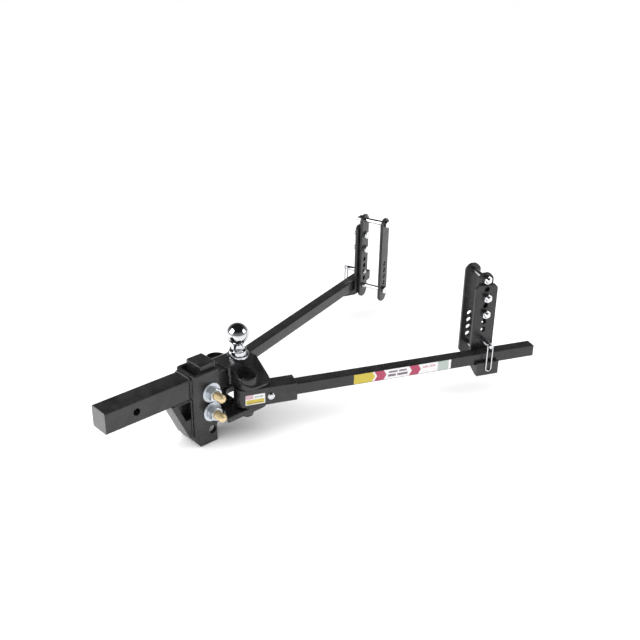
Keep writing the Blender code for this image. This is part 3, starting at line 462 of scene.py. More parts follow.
def seat_of(node: str, axis: Vector, sides: int = 6) -> Seat:
    """Measure a turned or six-sided node.

    Args:
        node: The node's name.
        axis: The direction of its +Z, in the row frame.
        sides: How often its outline repeats in a turn.

    Returns:
        Its seat, with +X through one of its corners and its origin at its low end.
    """
    along = axis.normalized()
    side = along.orthogonal().normalized()
    up = along.cross(side)
    points = [vertex.co for vertex in frame["nodes"][node].data.vertices]
    heights = [point.dot(along) for point in points]
    across = [point.dot(side) for point in points]
    rise = [point.dot(up) for point in points]
    middle = ((min(across) + max(across)) / 2, (min(rise) + max(rise)) / 2)
    offsets = [complex(a - middle[0], b - middle[1]) for a, b in zip(across, rise)]
    reach = max(abs(offset) for offset in offsets)
    corners = [(offset / abs(offset)) ** sides for offset in offsets if abs(offset) > reach * 0.97]
    turn = cmath.phase(sum(corners)) / sides
    x_axis = side * math.cos(turn) + up * math.sin(turn)
    y_axis = along.cross(x_axis)
    origin = side * middle[0] + up * middle[1] + along * min(heights)
    place = Matrix((x_axis, y_axis, along)).transposed().to_4x4()
    place.translation = origin
    return Seat(place, 0.0, max(heights) - min(heights))


def joint_vector(name: str, key: str) -> Vector:
    """Return a vector of a joint in the row frame.

    Args:
        name: The joint's name.
        key: Which vector: its axis, or pos_m for the point that a hinge turns about.

    Returns:
        The vector.
    """
    return Vector(next(joint[key] for joint in frame["joints"] if joint["name"] == name))


# ---- shapes


@dataclass(frozen=True)
class Ring:
    """One ring of a turned shape; with flats it is a polygon with its corners turned off at the radius."""

    height: float
    radius: float
    flats: float = 0.0
    sides: int = 6

    def at(self, angle: float) -> float:
        """Return the ring's radius at an angle."""
        if not self.flats:
            return self.radius
        period = TAU / self.sides
        turn = angle % period - period / 2
        return min(self.radius, self.flats / 2 / max(math.cos(turn), 1e-6))


@dataclass(frozen=True)
class ThreadRing(Ring):
    """One ring of a screw thread."""

    pitch: float = 2.0 * MM
    depth: float = 0.7 * MM

    def at(self, angle: float) -> float:
        """Return the thread's radius at an angle."""
        phase = (self.height / self.pitch - angle / TAU) % 1.0
        return self.radius - self.depth * min(1.0, 1.25 * abs(2 * phase - 1.0))


def thread(radius: float, pitch: float, start: float, end: float, point: float = 0.0) -> list[Ring]:
    """Return the rings of a thread.

    Args:
        radius: Its outer radius.
        pitch: The height of one turn.
        start: The height of its first ring.
        end: The height of its last ring.
        point: The height below which it tapers at 45 degrees.

    Returns:
        The rings, from start to end.
    """
    steps = max(2, round(abs(end - start) / pitch * 7))
    heights = [start + (end - start) * n / steps for n in range(steps + 1)]
    taper = [min(radius, radius - (point - height)) for height in heights]
    return [ThreadRing(h, r, pitch=pitch, depth=pitch * 0.30) for h, r in zip(heights, taper)]


def finish_mesh(name: str, bm: bmesh.types.BMesh, sharp: float = 30.0) -> bpy.types.Object:
    """Turn a bmesh into an object with smooth shading and sharp corners.

    Args:
        name: The object's name.
        bm: The mesh, which is freed.
        sharp: The angle in degrees from which an edge is sharp.

    Returns:
        The object.
    """
    bmesh.ops.recalc_face_normals(bm, faces=bm.faces)
    mesh = bpy.data.meshes.new(name)
    bm.to_mesh(mesh)
    bm.free()
    mesh.shade_smooth()
    mesh.set_sharp_from_angle(angle=math.radians(sharp))
    made = bpy.data.objects.new(name, mesh)
    bpy.context.scene.collection.objects.link(made)
    return made


def turned(name: str, rings: Sequence[Ring], segments: int = 48, hollow: bool = False) -> bpy.types.Object:
    """Build a turned shape from rings.

    Args:
        name: The object's name.
        rings: Its rings in order, down its outer side.
        segments: Points in a ring.
        hollow: Whether the last ring joins the first, as round a bore.

    Returns:
        The object, with its axis along +Z.
    """
    bm = bmesh.new()
    angles = [TAU * n / segments for n in range(segments)]
    loops = []
    for ring in rings:
        reach = [ring.at(angle) for angle in angles]
        loops.append(
            [bm.verts.new((r * math.cos(a), r * math.sin(a), ring.height)) for r, a in zip(reach, angles)]
        )
    pairs = list(zip(loops, loops[1:]))
    if hollow:
        pairs.append((loops[-1], loops[0]))
    else:
        bm.faces.new(loops[0])
        bm.faces.new(reversed(loops[-1]))
    for upper, lower in pairs:
        for n in range(segments):
            m = (n + 1) % segments
            bm.faces.new((upper[n], lower[n], lower[m], upper[m]))
    return finish_mesh(name, bm)


def swept(
    name: str, path: Sequence[Vector], radius: Callable[[float], float], segments: int = 12
) -> bpy.types.Object:
    """Sweep a round section along a path.

    Args:
        name: The object's name.
        path: The centre line's points.
        radius: The section's radius at a distance along the path.
        segments: Points round the section.

    Returns:
        The object.
    """
    bm = bmesh.new()
    loops = []
    travelled = 0.0
    side = (path[1] - path[0]).orthogonal().normalized()
    for n, point in enumerate(path):
        ahead = path[min(n + 1, len(path) - 1)] - path[max(n - 1, 0)]
        along = ahead.normalized()
        side = (side - along * side.dot(along)).normalized()
        up = along.cross(side)
        travelled += (point - path[max(n - 1, 0)]).length
        reach = radius(travelled)
        turns = [TAU * k / segments for k in range(segments)]
        loops.append([bm.verts.new(point + (side * math.cos(t) + up * math.sin(t)) * reach) for t in turns])
    for first, second in zip(loops, loops[1:]):
        for k in range(segments):
            m = (k + 1) % segments
            bm.faces.new((first[k], first[m], second[m], second[k]))
    bm.faces.new(loops[0])
    bm.faces.new(loops[-1])
    return finish_mesh(name, bm, 50.0)


def along_corners(corners: Sequence[Vector], spacing: float) -> list[Vector]:
    """Fill a line between corners with evenly spaced points.

    Args:
        corners: The line's corners.
        spacing: The distance between points.

    Returns:
        The points.
    """
    points = []
    for start, end in zip(corners, corners[1:]):
        steps = max(1, round((end - start).length / spacing))
        points += [start.lerp(end, n / steps) for n in range(steps)]
    return [*points, corners[-1]]


def arc(centre: Vector, across: Vector, rise: Vector, start: float, end: float, steps: int) -> list[Vector]:
    """Return points on an arc.

    Args:
        centre: The arc's centre.
        across: From the centre to the arc at angle 0.
        rise: From the centre to the arc at a quarter turn.
        start: The first angle in degrees.
        end: The last angle in degrees.
        steps: The number of stretches.

    Returns:
        The points.
    """
    angles = [math.radians(start + (end - start) * n / steps) for n in range(steps + 1)]
    return [centre + across * math.cos(angle) + rise * math.sin(angle) for angle in angles]


# ---- hardware


def settle(
    piece: bpy.types.Object, place: Matrix, body: str, finish: Finish, *stands_for: str
) -> bpy.types.Object:
    """Put a finished piece in place on its body.

    Args:
        piece: The piece, in its own frame.
        place: Where its frame goes.
        body: The body that it moves with.
        finish: Its finish.
        *stands_for: The frame nodes that it replaces.

    Returns:
        The piece.
    """
    dress(piece, finish)
    piece.matrix_world = place
    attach(piece, body)
    if stands_for:
        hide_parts(*stands_for)
    LOG.info("%s: %s, on %s", piece.name, finish.value.name, body)
    return piece


@dataclass(frozen=True)
class ThreadSize:
    """An inch thread with its hexagon sizes."""

    radius: float
    pitch: float
    flats: float
    head: float


THREE_QUARTER = ThreadSize(9.525 * MM, 2.54 * MM, 28.6 * MM, 12.0 * MM)
PIVOT_THREAD = ThreadSize(9.525 * MM, 2.54 * MM, 25.4 * MM, 11.0 * MM)
HALF_INCH = ThreadSize(6.35 * MM, 1.95 * MM, 19.0 * MM, 7.2 * MM)
ONE_INCH = ThreadSize(12.7 * MM, 2.1 * MM, 38.1 * MM, 0.0)


def hexagon_rings(flats: float, low: float, high: float, top: bool, bottom: bool) -> list[Ring]:
    """Return a hexagon's rings from high to low, its corners turned off at chosen ends.

    Args:
        flats: The size across its flats.
        low: Its lower height.
        high: Its upper height.
        top: Whether the upper corners are turned off.
        bottom: Whether the lower corners are turned off.

    Returns:
        The rings.
    """
    inner, corner = flats / 2 * 0.955, flats / math.sqrt(3)
    depth = (corner - inner) * math.tan(math.radians(30))
    shares = [0.0, 0.34, 0.67, 1.0]
    rings = []
    if top:
        rings += [Ring(high - depth * s, inner + (corner - inner) * s, flats) for s in shares]
    else:
        rings += [Ring(high, corner - 0.3 * MM, flats - 0.5 * MM), Ring(high - 0.3 * MM, corner, flats)]
    if bottom:
        rings += [Ring(low + depth * s, inner + (corner - inner) * s, flats) for s in reversed(shares)]
    else:
        rings += [Ring(low + 0.3 * MM, corner, flats), Ring(low, corner - 0.3 * MM, flats - 0.5 * MM)]
    return rings


@dataclass(frozen=True)
class HexBolt:
    """A hex bolt that stands for a frame node, its head at the far end of its axis."""

    node: str
    body: str
    axis: Vector
    size: ThreadSize
    threaded: float
    finish: Finish
    point: float = 1.0 * MM

    def build(self) -> bpy.types.Object:
        """Build the bolt from its head's crown to its tip."""
        seat = seat_of(self.node, self.axis)
        size, top, under = self.size, seat.length, seat.length - self.size.head
        rings = [Ring(top - 0.35 * MM, size.flats * 0.10), Ring(top - 0.35 * MM, size.flats * 0.36)]
        rings += [Ring(top, size.flats * 0.38), Ring(top, size.flats / 2 * 0.94)]
        rings += hexagon_rings(size.flats, under + 0.4 * MM, top, True, False)
        rings += [Ring(under, size.flats / 2 * 0.96), Ring(under, size.radius * 1.06)]
        neck = size.radius * 0.992
        rings += [Ring(under - 0.5 * MM, neck), Ring(self.threaded, neck)]
        rings += thread(size.radius, size.pitch, self.threaded - 0.4 * MM, 0.2 * MM, self.point)
        tip = size.radius - self.point
        rings += [Ring(0.1 * MM, tip - size.pitch * 0.2), Ring(0.0, tip - size.pitch * 0.3)]
        made = turned(self.node + "_turned", rings, 48)
        return settle(made, seat.place, self.body, self.finish, self.node)


@dataclass(frozen=True)
class HexNut:
    """A hex nut with a threaded bore that stands for a frame node."""

    node: str
    body: str
    axis: Vector
    size: ThreadSize
    finish: Finish

    def build(self) -> bpy.types.Object:
        """Build the nut."""
        seat = seat_of(self.node, self.axis)
        size, top = self.size, seat.length
        bore = size.radius + 0.25 * MM
        rings = [Ring(top - 0.9 * MM, bore), Ring(top, bore + 0.8 * MM), Ring(top, size.flats / 2 * 0.94)]
        rings += hexagon_rings(size.flats, 0.0, top, True, True)
        rings += [Ring(0.0, size.flats / 2 * 0.94), Ring(0.0, bore + 0.8 * MM), Ring(0.9 * MM, bore)]
        made = turned(self.node + "_turned", rings, 48, hollow=True)
        return settle(made, seat.place, self.body, self.finish, self.node)


@dataclass(frozen=True)
class FlatWasher:
    """A flat washer, its outer edge rolled by the die, that stands for a frame node."""

    node: str
    body: str
    axis: Vector
    bore: float
    radius: float
    finish: Finish
    roll: float = 0.7 * MM

    def build(self) -> bpy.types.Object:
        """Build the washer."""
        seat = seat_of(self.node, self.axis)
        top, roll = seat.length, self.roll
        rings = [Ring(top - roll / 2, self.bore), Ring(top, self.bore + roll / 2)]
        rings += [Ring(top - 0.05 * MM, self.radius * 0.75), Ring(top, self.radius - roll * 1.6)]
        rings += [Ring(top - roll * 0.35, self.radius - roll * 0.4), Ring(top - roll, self.radius)]
        rings += [Ring(roll * 0.6, self.radius), Ring(0.0, self.radius - roll)]
        rings += [Ring(0.0, self.bore + roll / 2), Ring(roll / 2, self.bore)]
        made = turned(self.node + "_pressed", rings, 64, hollow=True)
        return settle(made, seat.place, self.body, self.finish, self.node)


@dataclass(frozen=True)
class Weld:
    """A painted fillet weld laid along corners, with the ripples of its passes."""

    name: str
    body: str
    corners: tuple[Vector, ...]
    leg: float = 3.2 * MM
    ripple: float = 2.6 * MM

    def thickness(self, distance: float) -> float:
        """Return the bead's radius at a distance along it."""
        wave = abs(math.sin(math.pi * distance / self.ripple))
        return self.leg * (0.90 + 0.13 * wave + 0.03 * math.sin(distance / self.ripple * 1.7))

    def build(self) -> bpy.types.Object:
        """Lay the bead."""
        path = along_corners(self.corners, self.ripple / 5)
        made = swept(self.name, path, self.thickness, 12)
        return settle(made, Matrix.Identity(4), self.body, Finish.WELD)


# ---- sub-assemblies


@dataclass
class Shank:
    """The receiver bar, its channel and brace, and the clamp bolts across them."""

    body: str = "shank"
    bead: float = 4.2 * MM
    bar_corner: float = 4.2 * MM
    bolt_reach: float = 46 * MM
    bolt_point: float = 5.0 * MM
    bead_sink: float = 1.4 * MM
    washer_bore: float = 9.85 * MM
    washer_radius: float = 23.0 * MM

    def finish(self) -> None:
        """Paint the steel pieces."""
        dress_nodes(["shank_bar"], Finish.SAWN)
        dress_nodes(["shank_channel", "shank_gusset"], Finish.BLACK)

    def welds(self) -> None:
        """Lay the beads round the bar's end and down the brace."""
        low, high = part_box("shank_bar")
        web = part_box("shank_channel")[0].x
        corner = self.bar_corner
        x, y, z = web - self.bead_sink, high.y, high.z
        ring = [
            (x, -y, low.z + corner),
            (x, -y, z - corner),
            (x, -y + corner, z),
            (x, y - corner, z),
            (x, y, z - corner),
            (x, y, low.z + corner),
        ]
        Weld("bar_weld", self.body, tuple(map(Vector, ring)), self.bead).build()
        foot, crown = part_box("shank_gusset")
        for name, side in (("left", foot.y), ("right", crown.y)):
            down = (Vector((x, side, crown.z)), Vector((x, side, foot.z)))
            Weld("brace_web_weld_" + name, self.body, down, self.bead * 0.62).build()
            along = (Vector((foot.x + 3 * MM, side, crown.z)), Vector((x, side, crown.z)))
            Weld("brace_bar_weld_" + name, self.body, along, self.bead * 0.55).build()

    def bolts(self) -> None:
        """Fit the two clamp bolts with their washers and nuts."""
        across = Vector((0, 1, 0))
        for row in ("upper", "lower"):
            size = (THREE_QUARTER, self.bolt_reach, Finish.YELLOW_ZINC, self.bolt_point)
            HexBolt(row + "_clamp_bolt", self.body, across, *size).build()
            HexNut(row + "_clamp_nut", self.body, across, THREE_QUARTER, Finish.BLUE_ZINC).build()
            for end in ("head", "nut"):
                name = "%s_%s_washer" % (row, end)
                out = across if end == "head" else -across
                size = (self.washer_bore, self.washer_radius, Finish.BLUE_ZINC)
                FlatWasher(name, self.body, out, *size).build()

    def build(self) -> None:
        """Build the shank."""
        self.finish()
        self.welds()
        self.bolts()


@dataclass
class BallHead:
    """The tilting head: neck, deck with wings, bottom plate, ball and pivots."""

    body: str = "head"
    ball_radius: float = 25.4 * MM
    collar_radius: float = 21.5 * MM
    collar_flats: float = 38.0 * MM
    neck_radius: float = 14.0 * MM
    flange_radius: float = 25.5 * MM
    flange_height: float = 7.0 * MM
    shank_radius: float = 12.7 * MM
    shank_length: float = 50.0 * MM
    waist_height: float = 13.0 * MM
    washer_bore: float = 13.05 * MM
    washer_radius: float = 21.5 * MM
    pivot_thread: float = 24 * MM
    bead: float = 3.6 * MM
    ledge_height: float = 16.0 * MM
    side_bead: float = 22 * MM
    plate_bead: tuple[float, float] = (292 * MM, 324 * MM)

    def finish(self) -> None:
        """Paint the steel pieces and leave the bearing rings dark."""
        dress_nodes(["head_neck", "head_bottom_plate"], Finish.BLACK)
        dress_nodes(["head_top_plate"], Finish.FORGED)
        rings = ["%s_%s_friction_washer" % (s, e) for s in ("left", "right") for e in ("upper", "lower")]
        dress_nodes(rings, Finish.BLACK_OXIDE)

    def ball(self) -> None:
        """Turn the ball with its necked stem, flatted collar, flange and threaded shank."""
        seat = seat_of("hitch_ball", UP, 24)
        deck = self.shank_length
        centre = seat.length - self.ball_radius
        leave = math.pi - math.asin(self.neck_radius / self.ball_radius)
        steps = 34
        turns = [0.03 + (leave - 0.03) * n / steps for n in range(steps + 1)]
        ball = self.ball_radius
        rings = [Ring(centre + ball * math.cos(t), ball * math.sin(t)) for t in turns]
        low = rings[-1].height
        flange = deck + self.flange_height
        waist = flange + self.waist_height
        fillet = 8
        for n in range(1, fillet + 1):
            t = n / fillet
            sag = 1.2 * MM * math.sin(math.pi * t)
            rings.append(Ring(low + (waist - low) * t, self.neck_radius + 1.2 * MM * t * t - sag * 0.6))
        for height, cut in ((11.2, 2.2), (10.4, 0.7), (9.0, 0.0), (0.3, 0.0)):
            radius = self.collar_radius - cut * MM
            rings.append(Ring(flange + height * MM, radius, self.collar_flats, 2))
        rim = self.flange_radius
        rings += [Ring(flange, self.collar_radius), Ring(flange - 0.6 * MM, rim - 1.2 * MM)]
        rings += [Ring(flange - 1.2 * MM, rim - 0.3 * MM), Ring(flange - 2.4 * MM, rim)]
        rings += [Ring(deck + 0.7 * MM, rim), Ring(deck + 0.35 * MM, rim - 0.4 * MM)]
        rings += [Ring(deck + 0.3 * MM, self.shank_radius), Ring(deck - 19 * MM, self.shank_radius)]
        rings += thread(self.shank_radius, ONE_INCH.pitch, deck - 19.4 * MM, 1.2 * MM)
        rings += [Ring(0.0, self.shank_radius - 1.3 * MM)]
        made = turned("hitch_ball_turned", rings, 96)
        settle(made, seat.place, self.body, Finish.CHROME, "hitch_ball")

    def ball_fasteners(self) -> None:
        """Fit the lock washer and nut under the deck."""
        size = (self.washer_bore, self.washer_radius, Finish.BLUE_ZINC)
        FlatWasher("ball_lock_washer", self.body, UP, *size).build()
        HexNut("ball_nut", self.body, UP, ONE_INCH, Finish.BLUE_ZINC).build()

    def pivots(self) -> None:
        """Fit the upright pivot bolts and their nuts."""
        for side in ("left", "right"):
            size = (PIVOT_THREAD, self.pivot_thread, Finish.BLACK_OXIDE)
            HexBolt(side + "_pivot_bolt", self.body, UP, *size).build()
            HexNut(side + "_pivot_nut", self.body, UP, PIVOT_THREAD, Finish.BLACK_OXIDE).build()

    def welds(self) -> None:
        """Lay the beads that join the neck to the deck and the bottom plate."""
        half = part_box("head_neck")[1].y
        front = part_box("head_top_plate")[0].x
        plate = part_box("head_bottom_plate")[1].z
        ledge = tuple(Vector((front, y, self.ledge_height)) for y in (-half, half))
        Weld("deck_front_weld", self.body, ledge, self.bead).build()
        for name, side in (("left", -half), ("right", half)):
            under = (Vector((front, side, 0.0)), Vector((front + self.side_bead, side, 0.0)))
            Weld("deck_side_weld_" + name, self.body, under, self.bead).build()
            foot = tuple(Vector((x, side, plate)) for x in self.plate_bead)
            Weld("plate_side_weld_" + name, self.body, foot, self.bead).build()

    def build(self) -> None:
        """Build the head."""
        self.finish()
        self.ball()
        self.ball_fasteners()
        self.pivots()
        self.welds()


class Way(Enum):
    """Which side of the tow vehicle a piece is on."""

    LEFT = "left"
    RIGHT = "right"


@dataclass(frozen=True)
class ArmFrame:
    """An arm's own directions: out along it, away from the centre line, and up, from its pivot."""

    way: Way

    @property
    def pivot(self) -> Vector:
        """The point on the pivot's axis at the arm's height."""
        return joint_vector(self.way.value + "_arm_swing", "pos_m")

    @property
    def along(self) -> Vector:
        """The direction from the pivot to the arm's tip."""
        return joint_vector(self.way.value + "_bracket_slide", "axis")

    @property
    def outward(self) -> Vector:
        """The level direction away from the vehicle's centre line."""
        return joint_vector(self.way.value + "_lock_pin_slide", "axis")

    def point(self, along: float, outward: float, up: float) -> Vector:
        """Return a point given in the arm's own directions.

        Args:
            along: Distance along the arm.
            outward: Distance away from the centre line.
            up: Height above the arm's centre.

        Returns:
            The point in the row frame.
        """
        return self.pivot + self.along * along + self.outward * outward + Vector((0, 0, up))

    def reach(self, node: str) -> float:
        """Return how far a node goes outward from the arm's centre line."""
        points = [vertex.co - self.pivot for vertex in frame["nodes"][node].data.vertices]
        return max(point.dot(self.outward) for point in points)


@dataclass(frozen=True)
class Field:
    """One printed field of a label, between two ends, pointed by a lean at its mid height."""

    start: float
    end: float
    low: float
    high: float
    finish: Finish
    start_lean: float = 0.0
    end_lean: float = 0.0
    lift: float = 0.0


@dataclass(frozen=True)
class Label:
    """A printed film on a flat side; it carries plain shapes and no lettering."""

    name: str
    body: str
    arm: ArmFrame
    start: float
    length: float
    low: float
    height: float
    face: float
    fields: tuple[Field, ...]
    film: float = 0.12 * MM

    def shape(self, one: Field) -> bpy.types.Object:
        """Build one field as a thin closed film."""
        columns = 14
        bm = bmesh.new()
        heights = (one.low, (one.low + one.high) / 2, one.high)
        skins = []
        for depth in (0.02 * MM, self.film + one.lift):
            rows = []
            for row, share in enumerate(heights):
                lean = 1.0 if row == 1 else 0.0
                first = one.start + one.start_lean * lean
                last = one.end + one.end_lean * lean
                up = self.low + self.height * share
                line = []
                for n in range(columns + 1):
                    along = self.start + self.length * (first + (last - first) * n / columns)
                    line.append(bm.verts.new(self.arm.point(along, self.face + depth, up)))
                rows.append(line)
            skins.append(rows)
        for rows in skins:
            for lower, upper in zip(rows, rows[1:]):
                for n in range(columns):
                    bm.faces.new((lower[n], lower[n + 1], upper[n + 1], upper[n]))
        under, over = skins
        rim = [(r, 0) for r in range(3)] + [(2, n) for n in range(1, columns + 1)]
        rim += [(1, columns), (0, columns)] + [(0, n) for n in range(columns - 1, 0, -1)]
        for (a, b), (c, d) in zip(rim, rim[1:] + rim[:1]):
            bm.faces.new((under[a][b], under[c][d], over[c][d], over[a][b]))
        return finish_mesh("piece", bm)

    def build(self) -> None:
        """Build every field."""
        for n, one in enumerate(self.fields):
            made = self.shape(one)
            made.name = "%s_%02d" % (self.name, n)
            settle(made, Matrix.Identity(4), self.body, one.finish)


LAYER = 0.04 * MM  # the thickness of one printed layer


def arm_fields() -> tuple[Field, ...]:
    """Return the long label's fields: a yellow block, two crimson arrowheads, pale and grey panels."""
    lean = 0.028
    fields = [
        Field(0.0, 1.0, 0.0, 1.0, Finish.WHITE_INK),
        Field(0.0, 0.185, 0.0, 1.0, Finish.YELLOW_INK, 0.0, lean, LAYER),
        Field(0.205, 0.300, 0.0, 1.0, Finish.CRIMSON_INK, lean, lean, LAYER),
        Field(0.560, 0.655, 0.0, 1.0, Finish.CRIMSON_INK, lean, lean, LAYER),
        Field(0.860, 0.975, 0.0, 1.0, Finish.GREY_INK, 0.0, 0.0, LAYER),
    ]
    bars = [(0.350, 0.440, 0.62, 0.80), (0.455, 0.535, 0.62, 0.80), (0.345, 0.425, 0.22, 0.46)]
    bars += [(0.440, 0.545, 0.22, 0.46), (0.700, 0.765, 0.55, 0.78), (0.775, 0.835, 0.55, 0.78)]
    fields += [Field(a, b, c, d, Finish.PINK_INK, lift=LAYER) for a, b, c, d in bars[4:]]
    fields += [Field(a, b, c, d, Finish.DARK_INK, lift=LAYER) for a, b, c, d in bars[:4]]
    return tuple(fields)


def socket_fields() -> tuple[Field, ...]:
    """Return the short label's fields: a pink panel above a yellow one, with a dark bar."""
    return (
        Field(0.0, 1.0, 0.0, 1.0, Finish.WHITE_INK),
        Field(0.0, 0.40, 0.58, 1.0, Finish.PINK_INK, lift=LAYER),
        Field(0.04, 0.96, 0.06, 0.50, Finish.YELLOW_INK, lift=LAYER),
        Field(0.46, 0.90, 0.66, 0.82, Finish.GREY_INK, lift=LAYER),
        Field(0.12, 0.88, 0.14, 0.20, Finish.DARK_INK, lift=2 * LAYER),
    )


@dataclass
class OneSide:
    """What the assemblies of one side share."""

    way: Way

    @property
    def frame(self) -> ArmFrame:
        """The arm's own directions."""
        return ArmFrame(self.way)

    def named(self, tail: str) -> str:
        """Return the full name of this side's node, piece or body."""
        return "%s_%s" % (self.way.value, tail)


@dataclass
class SwingArm(OneSide):
    """A socket with its spring arm, bushing and retaining pin."""

    labelled: bool = False
    label_start: float = 250 * MM
    label_length: float = 248 * MM
    label_edge: float = 2.1 * MM
    socket_label: tuple[float, ...] = (-9 * MM, 45 * MM, -17.5 * MM, 25 * MM)
    pin_radius: float = 4.76 * MM
    pin_head_radius: float = 8.5 * MM
    pin_head: float = 4.5 * MM

    @property
    def body(self) -> str:
        """The body that the socket and arm share."""
        return self.named("arm")

    def finish(self) -> None:
        """Coat the socket and arm and leave the bushing bare."""
        dress_nodes([self.named("socket")], Finish.BLACK)
        dress_nodes([self.named("spring_arm")], Finish.ARM)
        dress_nodes([self.named("bushing")], Finish.BRONZE)

    def retaining_pin(self) -> None:
        """Turn the retaining pin with its domed head and chamfered tip."""
        node = self.named("retaining_pin")
        seat = seat_of(node, self.frame.outward, 16)
        top, rim = seat.length, 1.2 * MM
        under = top - self.pin_head
        steps = 8
        rings = []
        for n in range(steps + 1):
            turn = math.radians(4 + 86 * n / steps)
            height = under + rim + (self.pin_head - rim) * math.cos(turn)
            rings.append(Ring(height, self.pin_head_radius * math.sin(turn)))
        rings += [Ring(under + 0.3 * MM, self.pin_head_radius), Ring(under, self.pin_head_radius - 0.3 * MM)]
        rings += [Ring(under, self.pin_radius), Ring(1.2 * MM, self.pin_radius)]
        rings += [Ring(0.5 * MM, self.pin_radius - 0.4 * MM), Ring(0.0, self.pin_radius - 1.1 * MM)]
        made = turned(node + "_turned", rings, 40)
        settle(made, seat.place, self.named("retainer"), Finish.CHROME, node)

    def labels(self) -> None:
        """Stick the long label on the arm and the short one on the socket."""
        low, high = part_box(self.named("spring_arm"))
        half = (high.z - low.z) / 2 - self.label_edge
        face = self.frame.reach(self.named("spring_arm"))
        outline = (self.label_start, self.label_length, -half, 2 * half, face)
        Label(self.named("arm_label"), self.body, self.frame, *outline, arm_fields()).build()
        outline = (*self.socket_label, self.frame.reach(self.named("socket")))
        Label(self.named("socket_label"), self.body, self.frame, *outline, socket_fields()).build()

    def build(self) -> None:
        """Build the arm."""
        self.finish()
        self.retaining_pin()
        if self.labelled:
            self.labels()


@dataclass
class FrameBracket(OneSide):
    """The plates, angle, bolts, lock pin and wire bail that carry an arm's end."""

    pin_radius: float = 6.3 * MM
    pin_end_radius: float = 5.0 * MM
    pin_end_length: float = 9.0 * MM
    wire: float = 1.6 * MM
    bail_length: float = 66 * MM
    frame_thread: float = 24 * MM
    angle_thread: float = 20 * MM

    @property
    def body(self) -> str:
        """The body of the plates and angle."""
        return self.named("bracket")

    def finish(self) -> None:
        """Paint the plates and the angle."""
        names = ("inner_plate", "outer_plate", "angle_bracket")
        dress_nodes([self.named(name) for name in names], Finish.BLACK)

    def fasteners(self) -> None:
        """Fit the frame bolts and the angle's bolts."""
        inward = -self.frame.outward
        for end in ("low", "top"):
            for joined, threaded in (("frame", self.frame_thread), ("angle", self.angle_thread)):
                name = self.named("%s_%s_" % (end, joined))
                size = (HALF_INCH, threaded, Finish.BRIGHT_ZINC)
                HexBolt(name + "bolt", self.body, inward, *size).build()
                HexNut(name + "nut", self.body, inward, HALF_INCH, Finish.BRIGHT_ZINC).build()

    def lock_pin(self) -> None:
        """Turn the lock pin with its stepped end and tapered nose."""
        node = self.named("lock_pin")
        seat = seat_of(node, self.frame.outward, 16)
        top = seat.length
        step = top - self.pin_end_length
        end, full = self.pin_end_radius, self.pin_radius
        rings = [Ring(top, end - 1.0 * MM), Ring(top - 0.3 * MM, end - 0.3 * MM), Ring(top - 1.0 * MM, end)]
        rings += [Ring(step, end), Ring(step, full - 0.7 * MM), Ring(step - 0.2 * MM, full - 0.2 * MM)]
        rings += [Ring(step - 0.7 * MM, full), Ring(2.2 * MM, full), Ring(0.8 * MM, full - 0.9 * MM)]
        rings += [Ring(0.0, full - 2.2 * MM)]
        made = turned(node + "_turned", rings, 48)
        settle(made, seat.place, self.named("pin"), Finish.CHROME, node)

    def bail(self) -> None:
        """Bend the wire loop that hangs from the pin's cross hole."""
        node = self.named("bail")
        hinge = joint_vector(self.named("bail_swing"), "pos_m")
        along, down = self.frame.along, -UP
        half = self.pin_end_radius + 0.3 * MM + self.wire
        inside = self.pin_end_radius - 2.0 * MM
        bend = self.wire
        foot = hinge + down * (self.bail_length - half)
        path = [hinge - along * inside]
        path += arc(hinge - along * (half - bend) + down * bend, -down * bend, -along * bend, 0, 90, 4)
        path += arc(foot, -along * half, down * half, 0, 180, 22)
        path += arc(hinge + along * (half - bend) + down * bend, along * bend, -down * bend, 0, 90, 4)
        path += [hinge + along * inside]
        made = swept(node + "_bent", path, lambda distance: self.wire, 16)
        settle(made, Matrix.Identity(4), self.named("loop"), Finish.CHROME, node)

    def build(self) -> None:
        """Build the bracket."""
        self.finish()
        self.fasteners()
        self.lock_pin()
        self.bail()


# ---- studio


@dataclass(frozen=True)
class Softbox:
    """A square area light that looks at a point."""

    name: str
    place: tuple[float, float, float]
    target: tuple[float, float, float]
    size: float
    power: float

    def build(self) -> None:
        """Hang the light."""
        lamp = bpy.data.lights.new(self.name, "AREA")
        lamp.size = self.size
        lamp.energy = self.power
        made = bpy.data.objects.new(self.name, lamp)
        made.location = self.place
        look = Vector(self.target) - Vector(self.place)
        made.rotation_euler = look.to_track_quat("-Z", "Y").to_euler()
        bpy.context.scene.collection.objects.link(made)
        LOG.info("%s: %.0f W", self.name, self.power)


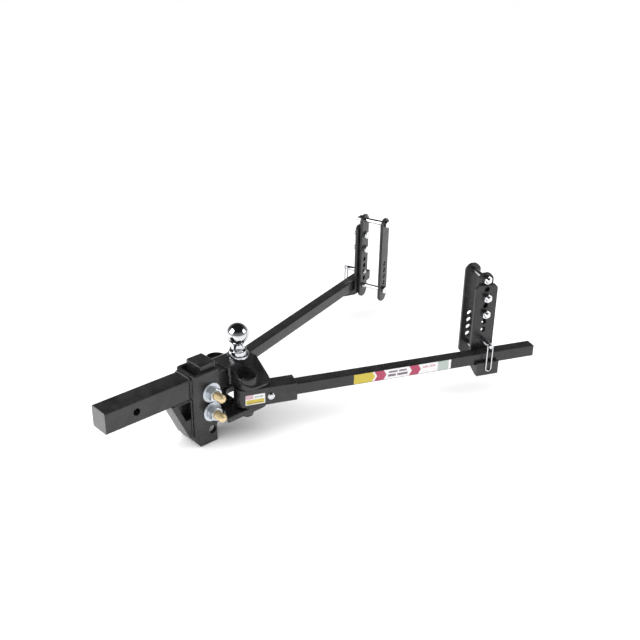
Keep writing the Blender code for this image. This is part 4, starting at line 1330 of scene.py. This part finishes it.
@dataclass
class Studio:
    """A pale floor, soft lights and the camera."""

    camera_place: tuple[float, float, float] = (-0.738, -1.415, 0.977)
    camera_turn: float = -43.63
    camera_tip: float = -25.91
    camera_roll: float = 0.93
    lens: float = 50.46
    floor_half: float = 40.0
    floor_gap: float = 1.0 * MM
    sky_greys: tuple[tuple[float, float], ...] = ((0.0, 0.36), (0.42, 0.17), (0.62, 0.02))
    sun_power: float = 3.4
    sun_spread: float = 110

    def floor(self) -> None:
        """Lay the floor just under the lowest piece."""
        bm = bmesh.new()
        bmesh.ops.create_grid(bm, x_segments=8, y_segments=8, size=self.floor_half)
        made = finish_mesh("floor", bm)
        made.location.z = CAD_BOX[0][2] - self.floor_gap
        graph = Graph("pale_floor")
        mottle = graph.ramp(graph.noise(0.5, 3.0), [(0.3, (0.93, 0.93, 0.93)), (0.7, (0.95, 0.95, 0.95))])
        graph.feed(graph.shader, "Base Color", mottle)
        graph.feed(graph.shader, "Roughness", 0.9)
        made.data.materials.append(graph.material)

    def sky(self) -> None:
        """Light the room: pale along the horizon and dark overhead."""
        world = bpy.data.worlds.new("studio")
        world.use_nodes = True
        bpy.context.scene.world = world
        tree = world.node_tree
        where = tree.nodes.new("ShaderNodeTexCoord")
        split = tree.nodes.new("ShaderNodeSeparateXYZ")
        ramp = tree.nodes.new("ShaderNodeValToRGB")
        points = ramp.color_ramp.elements
        points.new(0.5)
        for point, (position, grey) in zip(points, self.sky_greys):
            point.position = position
            point.color = (grey, grey, grey * 1.02, 1)
        tree.links.new(where.outputs["Generated"], split.inputs[0])
        tree.links.new(split.outputs["Z"], ramp.inputs["Fac"])
        tree.links.new(ramp.outputs["Color"], tree.nodes["Background"].inputs["Color"])

    def lights(self) -> None:
        """Hang the softboxes and the even light from above."""
        aim = (0.35, 0.0, 0.0)
        Softbox("ahead", (-1.45, 0.75, 1.25), aim, 1.7, 48).build()
        Softbox("near_side", (1.85, -1.35, 0.95), aim, 1.1, 14).build()
        lamp = bpy.data.lights.new("even", "SUN")
        lamp.energy = self.sun_power
        lamp.angle = math.radians(self.sun_spread)
        made = bpy.data.objects.new("even", lamp)
        made.visible_glossy = False
        made.rotation_euler = (math.radians(8), math.radians(-14), 0)
        bpy.context.scene.collection.objects.link(made)

    def camera(self) -> None:
        """Place the camera."""
        data = bpy.data.cameras.new("camera")
        data.sensor_width = 36.0
        data.lens = self.lens
        made = bpy.data.objects.new("camera", data)
        bpy.context.scene.collection.objects.link(made)
        turn, tip = math.radians(self.camera_turn), math.radians(self.camera_tip)
        roll = math.radians(self.camera_roll)
        look = Vector((-math.sin(turn) * math.cos(tip), math.cos(turn) * math.cos(tip), math.sin(tip)))
        level = Vector((math.cos(turn), math.sin(turn), 0))
        top = level.cross(look)
        right = level * math.cos(roll) + top * math.sin(roll)
        up = top * math.cos(roll) - level * math.sin(roll)
        made.matrix_world = Matrix((right, up, -look)).transposed().to_4x4()
        made.location = self.camera_place
        bpy.context.scene.camera = made

    def build(self) -> None:
        """Set up the studio."""
        bpy.context.scene.view_settings.view_transform = "Standard"
        self.camera()
        self.floor()
        self.sky()
        self.lights()


def main() -> None:
    """Build the hitch's looks and its studio."""
    logging.basicConfig(level=logging.INFO, format="%(message)s")
    Studio().build()
    Shank().build()
    BallHead().build()
    for way in Way:
        SwingArm(way, labelled=way is Way.LEFT).build()
        FrameBracket(way).build()


if __name__ == "__main__":
    main()
